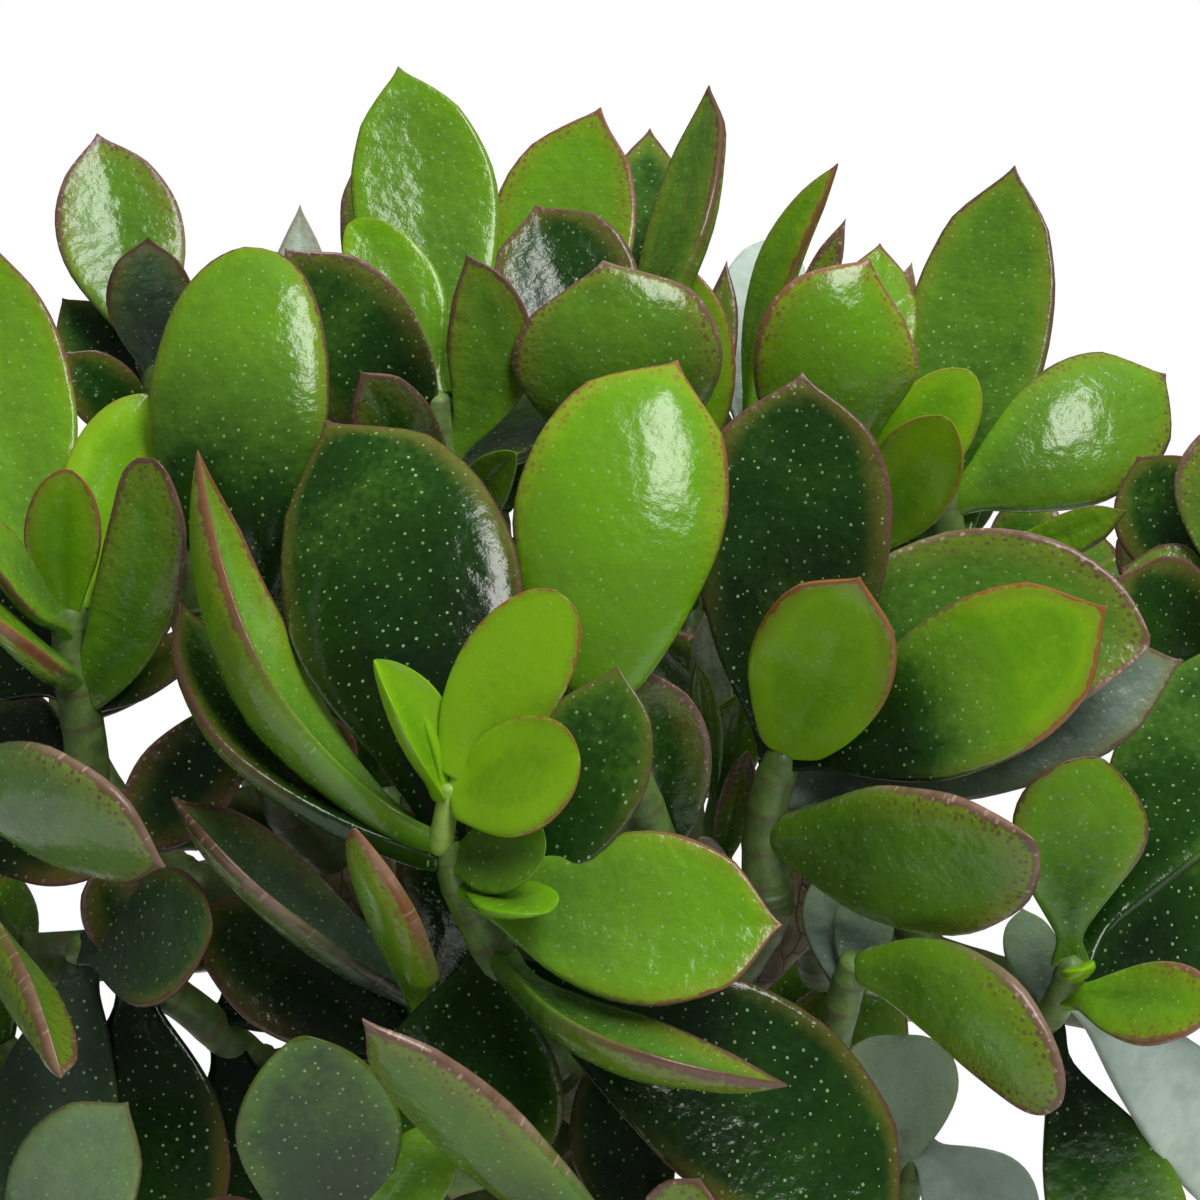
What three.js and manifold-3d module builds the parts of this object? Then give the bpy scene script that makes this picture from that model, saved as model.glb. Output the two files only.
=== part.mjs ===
// A jade plant in a plain round pot: a short trunk, woody branches and leafy shoots.
// Millimetres, +Z up. The pot stands on Z = 0 with its middle on the Z axis.
import * as THREE from "three";
import { mergeVertices } from "three/addons/utils/BufferGeometryUtils.js";
import Module from "manifold-3d";

const wasm = await Module();
wasm.setup();

// Clearance left between two neighbouring nodes.
const GAP = 0.3;

// Pot and soil.
const POT_HEIGHT = 130;
const POT_RIM_RADIUS = 76;
const POT_FOOT_RADIUS = 54;
const POT_WALL = 6;
const RIM_BAND_HEIGHT = 22;
const RIM_BAND_OUT = 4;
const POT_FLOOR = 8;
const EDGE = 1.5;
const DRAIN_RADIUS = 5;
const DRAIN_RING = 26;
const DRAIN_HOLES = 3;
const DRAIN_SIDES = 12;
const SOIL_TOP = 120;
const SOIL_HEAP = 4;
const SOIL_FLAT_SHARE = 0.6;
const POT_SIDES = 28;

// Trunk and branches.
const TRUNK_RADIUS = 13;
const TRUNK_TAPER = 2.5;
const TAPER_FROM = 0.45;
const TRUNK_SIDES = 12;
const TRUNK_FOOT = 84;
const FORK_HEIGHT = 172;
const LIMB_SIDES = 6;
const TWIG_SIDES = 4;
const LIMB_STEP = 34;
const TWIG_RUN = 5;
const TWIG_MORE = 0.4;

// Leaf mesh: sides round a leaf and steps from its root to its tip.
const LEAF_AROUND = 6;
const LEAF_ALONG = 5;
const GROWN_LEAF_ALONG = 3;
const STEM_SIDES = 5;
const STEM_STEPS = 2;
const HIGHEST_ROOT = 0.9;
const ROOT_OFF_AXIS = 1.5;

// The front view places the shoots: a point is named by its place in a square view of
// 1200 steps a side and by its distance in front of the trunk's plane.
const EYE_DISTANCE = 650;
const VIEW_STEP = 0.2;
const VIEW_MIDDLE = 600;
const VIEW_HEIGHT = 270;

// Leaf forms: where the widest place sits, and how pointed the outline is at its base and at
// its tip, from 1 (pointed) down.
const FORMS = {
  ovate: { shift: 1.3, base: 0.85, tip: 0.72 },
  broad: { shift: 1.3, base: 0.7, tip: 0.58 },
  spoon: { shift: 1.7, base: 0.8, tip: 0.6 },
  round: { shift: 1.5, base: 0.6, tip: 0.48 },
  oval: { shift: 1.1, base: 0.6, tip: 0.6 },
  square: { shift: 1.2, base: 0.45, tip: 0.36 },
  full: { shift: 1.4, base: 0.6, tip: 0.5 },
  shield: { shift: 1.15, base: 0.42, tip: 0.52 },
  wedge: { shift: 2.4, base: 0.9, tip: 0.25 },
};
const CUP = 0.12;
const THICK_SHARE = 0.1;
const THICK_LEAST = 3;
const THICK_MOST = 5.6;
const UPPER_SHARE = 0.35;
const BODY_SHIFT = 0.7;
const EDGE_THINNING = 1.2;

// Leaves placed by rule. They stand in crossed pairs down a stem.
const PAIR_STEP = 8;
const PAIR_TURN = 90;
const TURN_CHANCE = 20;
const LEAST_OPEN = 24;
const OPEN_STEP = 22;
const MOST_OPEN = 80;
const OPEN_CHANCE = 10;
const TOP_SHARE = 0.62;
const SHARE_STEP = 0.2;
const SHARE_CHANCE = 0.2;
const GROWN_WIDTH = 0.6;
const GROWN_BOW = 0.06;
const TRIED_LENGTHS = [1, 0.85, 0.7];
const TRIED_LEANS = [0, 14, -14];
const TRIED_TURNS = [0, 16, -16, 32, -32];

// Room a placed leaf keeps: round its blade, to its own shoot's leaves as a share, and to the
// lowest height, to the front half and to the upper edge of the front view.
const LEAF_REACH = 4.2;
const OWN_ROOM = 0.55;
const BACKWARD = 0.25;
const LOWEST_LEAF = 136;
const SKY_MARGIN = 12;

// Faces, as right, rise and front: the usual one, and that of a leaf that shows its back.
const TOWARD = [0, 0.3, 1];
const AWAY = [0, -0.3, -1];

// Shoots seen in the front view. stem: points from its lower end up; at: place on the stem.
// A leaf ends at its tip and is wide at most. sway and bow bend its middle line sideways and
// away from its upper side, cup folds its halves up, and face is where its upper side looks.
const SHOOTS = [
  {
    name: "shoot_left",
    stem: [[88, 800, 50], [85, 740, 54], [76, 690, 57], [70, 640, 60], [72, 600, 62]],
    pairs: 3, reach: 44, turn: 10, thick: [4.6, 3],
    leaves: [
      { at: 0.95, tip: [-18, 232, 34], wide: 27, sway: -3.5, bow: 3, form: "ovate" },
      { at: 1, tip: [149, 395, 49], wide: 18.5, sway: -1, form: "round" },
      { at: 0.4, tip: [146, 457, 80], wide: 16, sway: 5, form: "square" },
      { at: 0.15, tip: [-40, 745, 28], wide: 24, form: "broad" },
      { at: 0.75, tip: [68, 469, 76], wide: 14, sway: -1, form: "round" },
      { at: 0.8, tip: [-28, 530, 95], wide: 17, face: [0.15, 0.55, 0.8], form: "broad" },
      { at: 0.55, tip: [-24, 606, 112], wide: 17, face: [0.15, 0.5, 0.85], form: "broad" },
      { at: 0.5, tip: [-70, 600, 36], wide: 28, form: "broad" },
      { at: 0.38, tip: [215, 628, 60], wide: 9, form: "oval" },
      { at: 0.35, tip: [184, 648, 42], wide: 8, form: "oval" },
    ],
  },
  {
    name: "shoot_upper_left",
    stem: [[190, 600, 10], [172, 520, 12], [162, 440, 14], [157, 390, 15], [152, 350, 16]],
    pairs: 3, reach: 44, turn: 52, thick: [4.2, 2.8],
    leaves: [
      {
        at: 0.85, tip: [97, 133, 0], wide: 25.5,
        face: [0.15, 0.3, 1], bow: 2, form: "ovate",
      },
      { at: 0.75, tip: [148, 237, 30], wide: 17, form: "broad" },
      { at: 0.55, tip: [62, 298, 0], wide: 15, form: "ovate" },
      { at: 0.45, tip: [64, 352, 22], wide: 14, form: "broad" },
    ],
  },
  {
    name: "shoot_mid_left",
    stem: [[272, 730, 46], [266, 680, 50], [260, 640, 54], [256, 600, 57]],
    pairs: 2, reach: 44, turn: 68, thick: [4.4, 3],
    leaves: [
      {
        at: 1, tip: [262, 248, 54], wide: 34, sway: 3,
        face: [0.18, -0.3, -1], bow: 6, form: "square",
      },
      { at: 0.3, tip: [128, 852, 62], wide: 19, face: [-0.3, 0, 1], form: "broad" },
      { at: 0.5, tip: [345, 600, 32], wide: 14, form: "broad" },
      { at: 0.2, tip: [340, 800, 56], wide: 18, form: "broad" },
      { at: 0.5, tip: [204, 700, 36], wide: 16, form: "broad" },
      { at: 0.5, tip: [306, 744, 30], wide: 16, form: "broad" },
    ],
  },
  {
    name: "shoot_crown_left",
    stem: [[450, 570, 15], [446, 500, 17], [441, 440, 19], [436, 390, 21]],
    pairs: 3, reach: 44, turn: 52, thick: [4.4, 2.8],
    leaves: [
      { at: 0.9, tip: [398, 66, 2], wide: 29, sway: 2.2, bow: 3, form: "broad" },
      { at: 0.8, tip: [356, 160, -22], wide: 17, form: "ovate" },
      { at: 1, tip: [350, 222, 14], wide: 16, sway: 3, form: "round" },
      { at: 0.45, tip: [285, 248, 36], wide: 27, form: "broad" },
      { at: 0.5, tip: [466, 253, 30], wide: 17, sway: 7, form: "ovate" },
      { at: 0.2, tip: [360, 371, 50], wide: 17, form: "broad" },
      { at: 0.05, tip: [392, 437, 56], wide: 14, sway: 1, form: "broad" },
      { at: 0.1, tip: [516, 453, 40], wide: 11, sway: -1, form: "oval" },
    ],
  },
  {
    name: "shoot_crown_centre",
    stem: [[600, 580, 10], [600, 510, 14], [598, 450, 17], [597, 400, 19]],
    pairs: 3, reach: 44, turn: 36, thick: [4.6, 3],
    leaves: [
      {
        at: 0.9, tip: [601, 107, -6], wide: 31, sway: -8.2,
        face: [-0.3, 0.3, 1], bow: 2, form: "broad",
      },
      { at: 0.85, tip: [650, 128, -25], wide: 18, sway: 2, form: "broad" },
      {
        at: 0.7, tip: [709, 85, 0], wide: 22, sway: 7.5,
        face: [-0.85, 0.1, 0.5], form: "ovate",
      },
      { at: 1, tip: [535, 205, 6], wide: 29, sway: 1.5, form: "broad" },
      {
        at: 0.45, tip: [603, 260, 32], wide: 40, sway: -3,
        face: AWAY, bow: 7, form: "full",
      },
      { at: 0.15, tip: [682, 256, 18], wide: 21, sway: 7, form: "ovate" },
      { at: 0.2, tip: [727, 260, 10], wide: 10, sway: 6, form: "ovate" },
    ],
  },
  {
    name: "shoot_crown_back",
    stem: [[770, 620, -32], [758, 540, -33], [750, 470, -34], [748, 410, -34]],
    pairs: 3, reach: 44, turn: 52, thick: [4, 2.6],
    leaves: [
      {
        at: 1, tip: [838, 163, -18], wide: 11.5, sway: -3,
        face: [-0.8, 0.1, 0.6], bow: -4, form: "ovate",
      },
      { at: 0.8, tip: [786, 232, -62], wide: 20, sway: -3, form: "broad" },
      { at: 0.75, tip: [846, 218, -28], wide: 8, form: "ovate" },
    ],
  },
  {
    name: "shoot_crown_right",
    stem: [[850, 580, 20], [853, 530, 22], [858, 480, 24], [864, 430, 26]],
    pairs: 2, reach: 44, turn: 89, thick: [4.4, 3],
    leaves: [
      {
        at: 0.6, tip: [870, 258, 40], wide: 31.5, sway: 6,
        face: AWAY, bow: 7, form: "broad",
      },
      { at: 1, tip: [880, 243, 6], wide: 17, form: "ovate" },
      { at: 0.9, tip: [912, 262, -8], wide: 7, form: "ovate" },
      { at: 0.35, tip: [972, 372, 30], wide: 17, form: "round" },
      { at: 0.1, tip: [948, 418, 44], wide: 17, sway: 1, form: "round" },
    ],
  },
  {
    name: "shoot_right_upper",
    stem: [[962, 640, 14], [955, 580, 18], [948, 520, 21], [942, 470, 23]],
    pairs: 3, reach: 44, turn: 89, thick: [4.2, 2.8],
    leaves: [
      {
        at: 0.45, tip: [1015, 165, 4], wide: 29, sway: -2.4,
        face: [-0.35, 0.1, 1], bow: 3, form: "broad",
      },
      {
        at: 0.75, tip: [1166, 374, 14], wide: 29, sway: -1.5,
        face: [0.1, -0.16, -1], bow: 4, form: "full",
      },
      { at: 0.3, tip: [1128, 510, 44], wide: 9, form: "broad" },
    ],
  },
  {
    name: "shoot_right_edge",
    stem: [[1245, 760, 28], [1240, 700, 34], [1236, 650, 38], [1230, 600, 42]],
    pairs: 3, reach: 44, turn: 52, thick: [4.4, 3],
    leaves: [
      { at: 0.9, tip: [1137, 456, 26], wide: 22, face: [-0.4, 0.1, 1], form: "broad" },
      { at: 1, tip: [1122, 567, 36], wide: 19, sway: -1, form: "broad" },
      { at: 0.5, tip: [1118, 576, 54], wide: 24, sway: -1, form: "broad" },
      { at: 1, tip: [1258, 404, 40], wide: 28, form: "ovate" },
      { at: 0.7, tip: [1390, 610, 60], wide: 28, form: "broad" },
    ],
  },
  {
    name: "shoot_centre",
    stem: [[668, 900, 58], [652, 830, 68], [620, 750, 79], [594, 690, 88]],
    pairs: 1, reach: 44, turn: 84, thick: [4.4, 3.2],
    leaves: [
      {
        at: 1, tip: [678, 360, 76], wide: 37, sway: 4,
        face: AWAY, bow: 5, form: "shield",
      },
      { at: 0.1, tip: [645, 668, 74], wide: 19, sway: 1, form: "broad" },
    ],
  },
  {
    name: "shoot_centre_small",
    stem: [[724, 900, 34], [716, 830, 38], [722, 790, 40]],
    thick: [3, 2.2],
    leaves: [
      { at: 1, tip: [704, 612, 48], wide: 8, form: "ovate" },
      { at: 0.8, tip: [696, 660, 56], wide: 6, form: "ovate" },
      { at: 0.6, tip: [742, 690, 50], wide: 11, form: "broad" },
      { at: 0.2, tip: [748, 752, 58], wide: 7, form: "oval" },
      { at: 0.05, tip: [700, 838, 54], wide: 7, form: "oval" },
    ],
  },
  {
    name: "shoot_right_front",
    stem: [[765, 880, 66], [765, 835, 70], [774, 785, 74], [788, 745, 77]],
    thick: [4.6, 3.4],
    leaves: [
      { at: 0.75, tip: [802, 372, 77], wide: 35, form: "full" },
      { at: 1, tip: [860, 577, 112], wide: 25, form: "shield" },
      { at: 0.95, tip: [1108, 606, 106], wide: 29, sway: 3, form: "full" },
      { at: 0.9, tip: [1150, 644, 86], wide: 40, sway: -10, form: "oval" },
      { at: 0.6, tip: [1184, 660, 70], wide: 26, face: [-0.1, 0, 1], form: "broad" },
      {
        at: 0.35, tip: [1036, 842, 108], wide: 30, sway: -5.6,
        face: [0, 0.35, -0.9], form: "oval",
      },
    ],
  },
  {
    name: "shoot_front",
    stem: [[545, 1060, 76], [515, 1000, 86], [482, 930, 94], [456, 880, 99], [446, 836, 101]],
    thick: [5, 2.4],
    leaves: [
      {
        at: 0.96, tip: [325, 420, 68], wide: 43, sway: -5,
        face: [0.17, -0.05, -1], bow: 3, form: "broad",
      },
      {
        at: 0.94, tip: [198, 450, 90], wide: 27, bow: 14, cup: 0.5,
        face: [0.88, 0.45, 0.14], form: "ovate",
      },
      {
        at: 0.84, tip: [178, 600, 76], wide: 26, sway: -3, bow: 8,
        face: [0.75, 0.55, 0.4], form: "ovate",
      },
      { at: 0.7, tip: [783, 925, 106], wide: 30, sway: 1.7, form: "broad" },
      { at: 0.62, tip: [618, 665, 99], wide: 22, sway: 5, form: "broad" },
      { at: 0.85, tip: [546, 846, 114], wide: 14, form: "square" },
      { at: 0.72, tip: [549, 912, 116], wide: 13, face: [0, 0.9, 0.4], form: "round" },
      { at: 0.45, tip: [452, 1200, 84], wide: 34, form: "broad" },
      { at: 0.36, tip: [900, 1232, 88], wide: 36, sway: -5, form: "broad" },
      {
        at: 0.42, tip: [788, 1085, 116], wide: 18, sway: 8, bow: 4, cup: 0.45,
        face: [0.3, 0.85, 0.2], form: "ovate",
      },
    ],
  },
  {
    name: "sprig_front",
    stem: [[444, 823, 103], [448, 800, 104], [452, 782, 105]],
    thick: [2.2, 1.8],
    leaves: [
      {
        at: 0.4, tip: [374, 660, 112], wide: 12, cup: 0.7,
        face: [0.8, 0.12, 0.55], form: "oval",
      },
      { at: 0.5, tip: [396, 662, 104], wide: 7, face: [-0.8, 0, 0.5], form: "oval" },
      { at: 1, tip: [566, 597, 114], wide: 19, sway: -1, form: "square" },
      { at: 0.5, tip: [580, 758, 122], wide: 20, form: "square" },
    ],
  },
  {
    name: "shoot_far_right",
    stem: [[960, 1000, 40], [1005, 1015, 54], [1042, 1020, 68], [1062, 995, 77], [1075, 955, 82]],
    pairs: 2, reach: 44, turn: 15, thick: [3.6, 2.6],
    leaves: [
      { at: 0.9, tip: [1100, 757, 86], wide: 24, sway: -2, form: "spoon" },
      { at: 0.75, tip: [1222, 1012, 106], wide: 16, face: [0, 0.4, 0.9], form: "broad" },
      { at: 1, tip: [1270, 640, 52], wide: 31, face: [-0.6, 0.3, 1], form: "spoon" },
      { at: 0.85, tip: [1292, 900, 68], wide: 28, face: [-0.4, -0.1, 1], form: "broad" },
      { at: 0.9, tip: [1084, 970, 92], wide: 6, form: "round" },
      { at: 0.5, tip: [1150, 1300, 64], wide: 25, form: "spoon" },
      { at: 0.85, tip: [1316, 1244, 44], wide: 22, form: "broad" },
      { at: 0.55, tip: [1022, 908, 52], wide: 10, form: "ovate" },
    ],
  },
  {
    name: "shoot_low_right",
    stem: [[806, 1110, 62], [832, 1040, 70], [848, 985, 76], [858, 955, 80]],
    thick: [3.8, 2.8],
    leaves: [
      {
        at: 1, tip: [1052, 1112, 104], wide: 20, sway: 6.5,
        face: [0.1, 0.4, -0.9], form: "square",
      },
      { at: 0.6, tip: [820, 876, 56], wide: 10, form: "oval" },
      { at: 0.7, tip: [874, 884, 60], wide: 11, form: "oval" },
    ],
  },
  {
    name: "shoot_low_back",
    stem: [[872, 1265, 4], [896, 1220, 7], [910, 1170, 9], [916, 1120, 9]],
    pairs: 2, reach: 44, turn: 68, thick: [3.8, 2.8],
    leaves: [
      { at: 0.3, tip: [898, 1034, 18], wide: 24, form: "wedge" },
      { at: 0.85, tip: [1030, 1250, 26], wide: 22, form: "broad" },
    ],
  },
  {
    name: "shoot_low_left",
    stem: [[352, 1320, 88], [350, 1290, 92], [347, 1255, 96], [345, 1235, 98]],
    pairs: 1, reach: 44, turn: 68, thick: [4, 3],
    leaves: [
      { at: 0.1, tip: [300, 1036, 108], wide: 28, face: [0.1, 0.05, 1], form: "spoon" },
      { at: 0.6, tip: [450, 1130, 101], wide: 13, form: "round" },
      { at: 0.3, tip: [150, 1250, 70], wide: 24, form: "broad" },
    ],
  },
  {
    name: "shoot_low_front",
    stem: [[636, 1268, 68], [646, 1284, 80], [652, 1288, 92], [650, 1272, 101]],
    pairs: 1, reach: 44, turn: 15, thick: [4, 3],
    leaves: [
      {
        at: 0.9, tip: [362, 1018, 124], wide: 21, sway: 3,
        face: [0.3, 0.7, -0.6], form: "broad",
      },
      { at: 0.5, tip: [604, 1048, 81], wide: 18, form: "broad" },
      { at: 1, tip: [700, 1178, 104], wide: 14, form: "broad" },
      { at: 0.5, tip: [860, 1330, 110], wide: 26, form: "broad" },
    ],
  },
  {
    name: "shoot_lower_left",
    stem: [[448, 1120, 56], [440, 1065, 63], [430, 1020, 70], [422, 990, 74]],
    pairs: 1, reach: 44, turn: 52, thick: [3.8, 2.8],
    leaves: [
      {
        at: 0.85, tip: [172, 797, 84], wide: 20, sway: -2,
        face: [0.65, 0.65, 0.3], bow: 2, cup: 0.45, form: "broad",
      },
      { at: 0.8, tip: [357, 830, 126], wide: 17, face: [0.5, -0.1, -0.8], form: "oval" },
      { at: 0.3, tip: [196, 905, 58], wide: 24, face: [0.1, 0.2, 1], form: "broad" },
      { at: 0.7, tip: [480, 745, 62], wide: 22, form: "broad" },
    ],
  },
  {
    name: "shoot_west",
    stem: [[-6, 935, 46], [-40, 880, 54], [-64, 820, 62], [-72, 775, 66]],
    pairs: 2, reach: 44, turn: 10, thick: [4.4, 3],
    leaves: [
      {
        at: 0.95, tip: [166, 867, 96], wide: 26, sway: 4,
        face: [0, 0.5, -0.85], form: "broad",
      },
      {
        at: 0.35, tip: [62, 1078, 108], wide: 18, sway: -1,
        face: [0.9, 0.35, 0.2], cup: 0.45, form: "ovate",
      },
      { at: 0.5, tip: [128, 852, 64], wide: 13, form: "broad" },
      { at: 1, tip: [-250, 600, 60], wide: 28, form: "broad" },
      { at: 0.7, tip: [-300, 840, 90], wide: 26, form: "broad" },
    ],
  },
  {
    name: "shoot_low_edge",
    stem: [[62, 1330, 30], [34, 1322, 42], [12, 1308, 54], [2, 1286, 64]],
    pairs: 2, reach: 44, turn: 68, thick: [3.8, 2.8],
    leaves: [
      { at: 0.9, tip: [128, 1102, 84], wide: 24, form: "broad" },
      { at: 0.7, tip: [-170, 1200, 84], wide: 26, form: "broad" },
      { at: 0.5, tip: [-60, 1500, 96], wide: 26, form: "broad" },
    ],
  },
  {
    name: "shoot_low_west",
    stem: [[250, 1060, 36], [180, 1000, 48], [110, 962, 54], [66, 945, 57]],
    pairs: 2, reach: 44, turn: 68, thick: [4.4, 2.8],
    leaves: [
      { at: 0.98, tip: [212, 930, 86], wide: 25, form: "round" },
      { at: 0.45, tip: [94, 866, 74], wide: 13, form: "broad" },
      { at: 0.85, tip: [30, 1240, 62], wide: 24, form: "broad" },
      { at: 0.55, tip: [150, 1290, 60], wide: 32, form: "broad" },
      { at: 0.12, tip: [280, 1300, 46], wide: 30, form: "broad" },
      { at: 0.2, tip: [300, 972, 44], wide: 16, form: "broad" },
    ],
  },
];

// Shoots at the back and sides, which the front view leaves out; millimetres.
const BACK_SHOOTS = [
  {
    name: "shoot_inner_left",
    line: [[-43, -2, 216], [-44, 6, 233], [-46, 12, 250]],
    pairs: 3, reach: 50, turn: 70, thick: [4.2, 2.8],
  },
  {
    name: "shoot_inner_right",
    line: [[39, 8, 214], [43, 14, 234], [46, 18, 252]],
    pairs: 3, reach: 50, turn: 5, thick: [4.2, 2.8],
  },
  {
    name: "shoot_inner_middle",
    line: [[-2, -30, 196], [-4, -34, 214], [-4, -36, 230]],
    pairs: 2, reach: 44, turn: 35, thick: [4, 2.8],
  },
  {
    name: "shoot_back_left_high",
    line: [[-54, 44, 246], [-60, 50, 268], [-66, 55, 290]],
    leaves: [{ at: 1, tip: [300, 204, -62], wide: 15, form: "ovate" }],
    pairs: 3, reach: 54, turn: 20, thick: [4.4, 2.8],
  },
  {
    name: "shoot_back_mid_left",
    line: [[-20, 46, 258], [-22, 54, 280], [-24, 60, 300]],
    pairs: 3, reach: 54, turn: 60, thick: [4.4, 2.8],
  },
  {
    name: "shoot_back_mid_right",
    line: [[16, 62, 244], [20, 70, 266], [24, 76, 288]],
    pairs: 3, reach: 54, turn: 10, thick: [4.4, 2.8],
  },
  {
    name: "shoot_back_right_high",
    line: [[74, 40, 230], [84, 48, 248], [92, 54, 266]],
    pairs: 3, reach: 52, turn: 40, thick: [4.4, 2.8],
  },
  {
    name: "shoot_back_left",
    line: [[-90, 34, 214], [-102, 42, 226], [-112, 48, 242]],
    pairs: 3, reach: 52, turn: 75, thick: [4.4, 2.8],
  },
  {
    name: "shoot_rear_centre",
    line: [[0, 84, 218], [0, 98, 232], [0, 110, 250]],
    pairs: 3, reach: 54, turn: 30, thick: [4.4, 2.8],
  },
  {
    name: "shoot_rear_left",
    line: [[-50, 78, 196], [-62, 92, 204], [-72, 104, 218]],
    pairs: 3, reach: 54, turn: 15, thick: [4.4, 2.8],
  },
  {
    name: "shoot_rear_right",
    line: [[52, 78, 190], [62, 92, 198], [70, 104, 212]],
    pairs: 3, reach: 54, turn: 50, thick: [4.4, 2.8],
  },
  {
    name: "shoot_side_right",
    line: [[110, 16, 190], [124, 20, 200], [136, 23, 214]],
    pairs: 3, reach: 50, turn: 25, thick: [4.4, 2.8],
  },
  {
    name: "shoot_side_left",
    line: [[-104, 6, 168], [-118, 10, 176], [-129, 12, 188]],
    pairs: 3, reach: 50, turn: 65, thick: [4.4, 2.8],
  },
  {
    name: "shoot_rear_low_left",
    line: [[-28, 82, 156], [-38, 96, 160], [-46, 108, 170]],
    pairs: 3, reach: 46, turn: 35, thick: [4, 2.8],
  },
  {
    name: "shoot_rear_low_right",
    line: [[26, 80, 150], [34, 94, 154], [42, 106, 164]],
    pairs: 3, reach: 46, turn: 80, thick: [4, 2.8],
  },
];

// The canopy's upper edge in the front view, and the openings through it.
const SKYLINE = [
  [-300, 420], [-60, 330], [0, 270], [40, 340], [66, 290], [100, 180], [160, 200], [200, 270],
  [330, 270], [372, 120], [430, 120], [500, 250], [560, 150], [700, 150], [745, 290], [840, 260],
  [900, 280], [940, 230], [1040, 230], [1056, 380], [1160, 392], [1200, 460], [1300, 470], [1500, 560],
];
const OPENINGS = [
  { at: [150, 725], wide: 48 },
  { at: [320, 835], wide: 18 },
  { at: [65, 895], wide: 28 },
  { at: [745, 845], wide: 22 },
  { at: [630, 825], wide: 14 },
  { at: [990, 1050], wide: 50 },
  { at: [1000, 1165], wide: 40 },
  { at: [1115, 925], wide: 24 },
  { at: [1115, 1060], wide: 22 },
  { at: [1005, 805], wide: 18 },
  { at: [240, 1000], wide: 16 },
  { at: [318, 1034], wide: 12 },
  { at: [38, 720], wide: 18 },
];

// Woody limbs from the fork, then a twig from a limb to the foot of each shoot; millimetres.
const LIMBS = {
  left: { line: [[-1, -2, 166], [-20, -6, 188], [-42, -14, 210], [-60, -22, 230]], thick: [9.5, 6.4] },
  centre: { line: [[0, 2, 166], [-5, 5, 200], [-8, 3, 232], [-5, -2, 252]], thick: [8.6, 5.2] },
  right: { line: [[1, -1, 166], [20, -4, 190], [42, -8, 212], [60, -12, 232]], thick: [9, 6] },
  front: { line: [[0, -4, 164], [1, -28, 174], [0, -50, 178], [-4, -66, 181]], thick: [8.4, 5.6] },
  back_left: { line: [[-1, 3, 166], [-14, 26, 184], [-32, 44, 200], [-46, 54, 214]], thick: [8.4, 5.6] },
  back_right: { line: [[1, 3, 166], [14, 28, 182], [32, 48, 196], [46, 58, 208]], thick: [8.4, 5.6] },
  low: { line: [[0, 2, 150], [4, 26, 152], [2, 50, 154], [-2, 64, 158]], thick: [6.6, 5] },
};
const TWIGS = {
  shoot_left: [[-60, -22, 230], [-78, -38, 228]],
  shoot_upper_left: [[-58, -21, 228], [-73, -16, 250]],
  shoot_mid_left: [[-50, -18, 219], [-58, -36, 230]],
  shoot_crown_left: [[-8, 3, 230], [-21, -7, 254]],
  shoot_crown_centre: [[-6, 0, 246], [-2, -6, 260]],
  shoot_crown_back: [[-6, 5, 214], [16, 22, 236]],
  shoot_crown_right: [[58, -12, 230], [52, -18, 254]],
  shoot_right_upper: [[58, -12, 230], [66, -13, 246]],
  shoot_right_edge: [[50, -10, 222], [90, -20, 222]],
  shoot_centre: [[1, -36, 176], [8, -50, 196]],
  shoot_centre_small: [[16, -4, 188], [20, -22, 200]],
  shoot_right_front: [[0, -48, 178], [19, -62, 198]],
  shoot_front: [[-2, -60, 180], [-6, -70, 184]],
  shoot_far_right: [[50, -10, 222], [60, -24, 208]],
  shoot_low_right: [[1, -42, 177], [22, -55, 170]],
  shoot_low_back: [[0, 0, 148], [28, -2, 142]],
  shoot_low_left: [[0, -44, 177], [-24, -64, 158], [-37, -79, 147]],
  shoot_low_front: [[-1, -54, 179], [3, -61, 160]],
  shoot_lower_left: [[0, -32, 175], [-16, -46, 171]],
  shoot_west: [[-38, -12, 207], [-80, -30, 204]],
  shoot_low_edge: [[0, -2, 152], [-48, -14, 148], [-84, -24, 136]],
  shoot_low_west: [[-16, -5, 184], [-44, -24, 184]],
  shoot_inner_left: [[-30, -9, 198], [-39, -6, 206]],
  shoot_inner_right: [[26, -5, 196], [36, 2, 204]],
  shoot_inner_middle: [[1, -22, 172], [-1, -28, 186]],
  shoot_back_left_high: [[-44, 52, 212], [-50, 44, 230]],
  shoot_back_mid_left: [[-10, 22, 180], [-16, 38, 230]],
  shoot_back_mid_right: [[28, 44, 193], [18, 54, 222]],
  shoot_back_right_high: [[44, 57, 206], [62, 42, 216]],
  shoot_back_left: [[-42, 50, 209], [-72, 40, 208]],
  shoot_rear_centre: [[-12, 24, 182], [-2, 66, 204]],
  shoot_rear_left: [[-44, 52, 212], [-48, 66, 200]],
  shoot_rear_right: [[44, 57, 206], [48, 68, 194]],
  shoot_side_right: [[38, -7, 208], [84, 8, 192]],
  shoot_side_left: [[-18, -6, 186], [-70, -4, 168]],
  shoot_rear_low_left: [[0, 58, 156], [-18, 72, 154]],
  shoot_rear_low_right: [[0, 58, 156], [16, 70, 150]],
};

// A point named by its place in the front view.
function seen([across, down, near]) {
  const scale = (VIEW_STEP * (EYE_DISTANCE - near)) / EYE_DISTANCE;
  return new THREE.Vector3(
    (across - VIEW_MIDDLE) * scale,
    -near,
    VIEW_HEIGHT + (VIEW_MIDDLE - down) * scale,
  );
}

// A smooth curve through points, leaving its ends along the first and last chord.
function curveOf(points) {
  return new THREE.CatmullRomCurve3(points, false, "centripetal");
}

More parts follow.
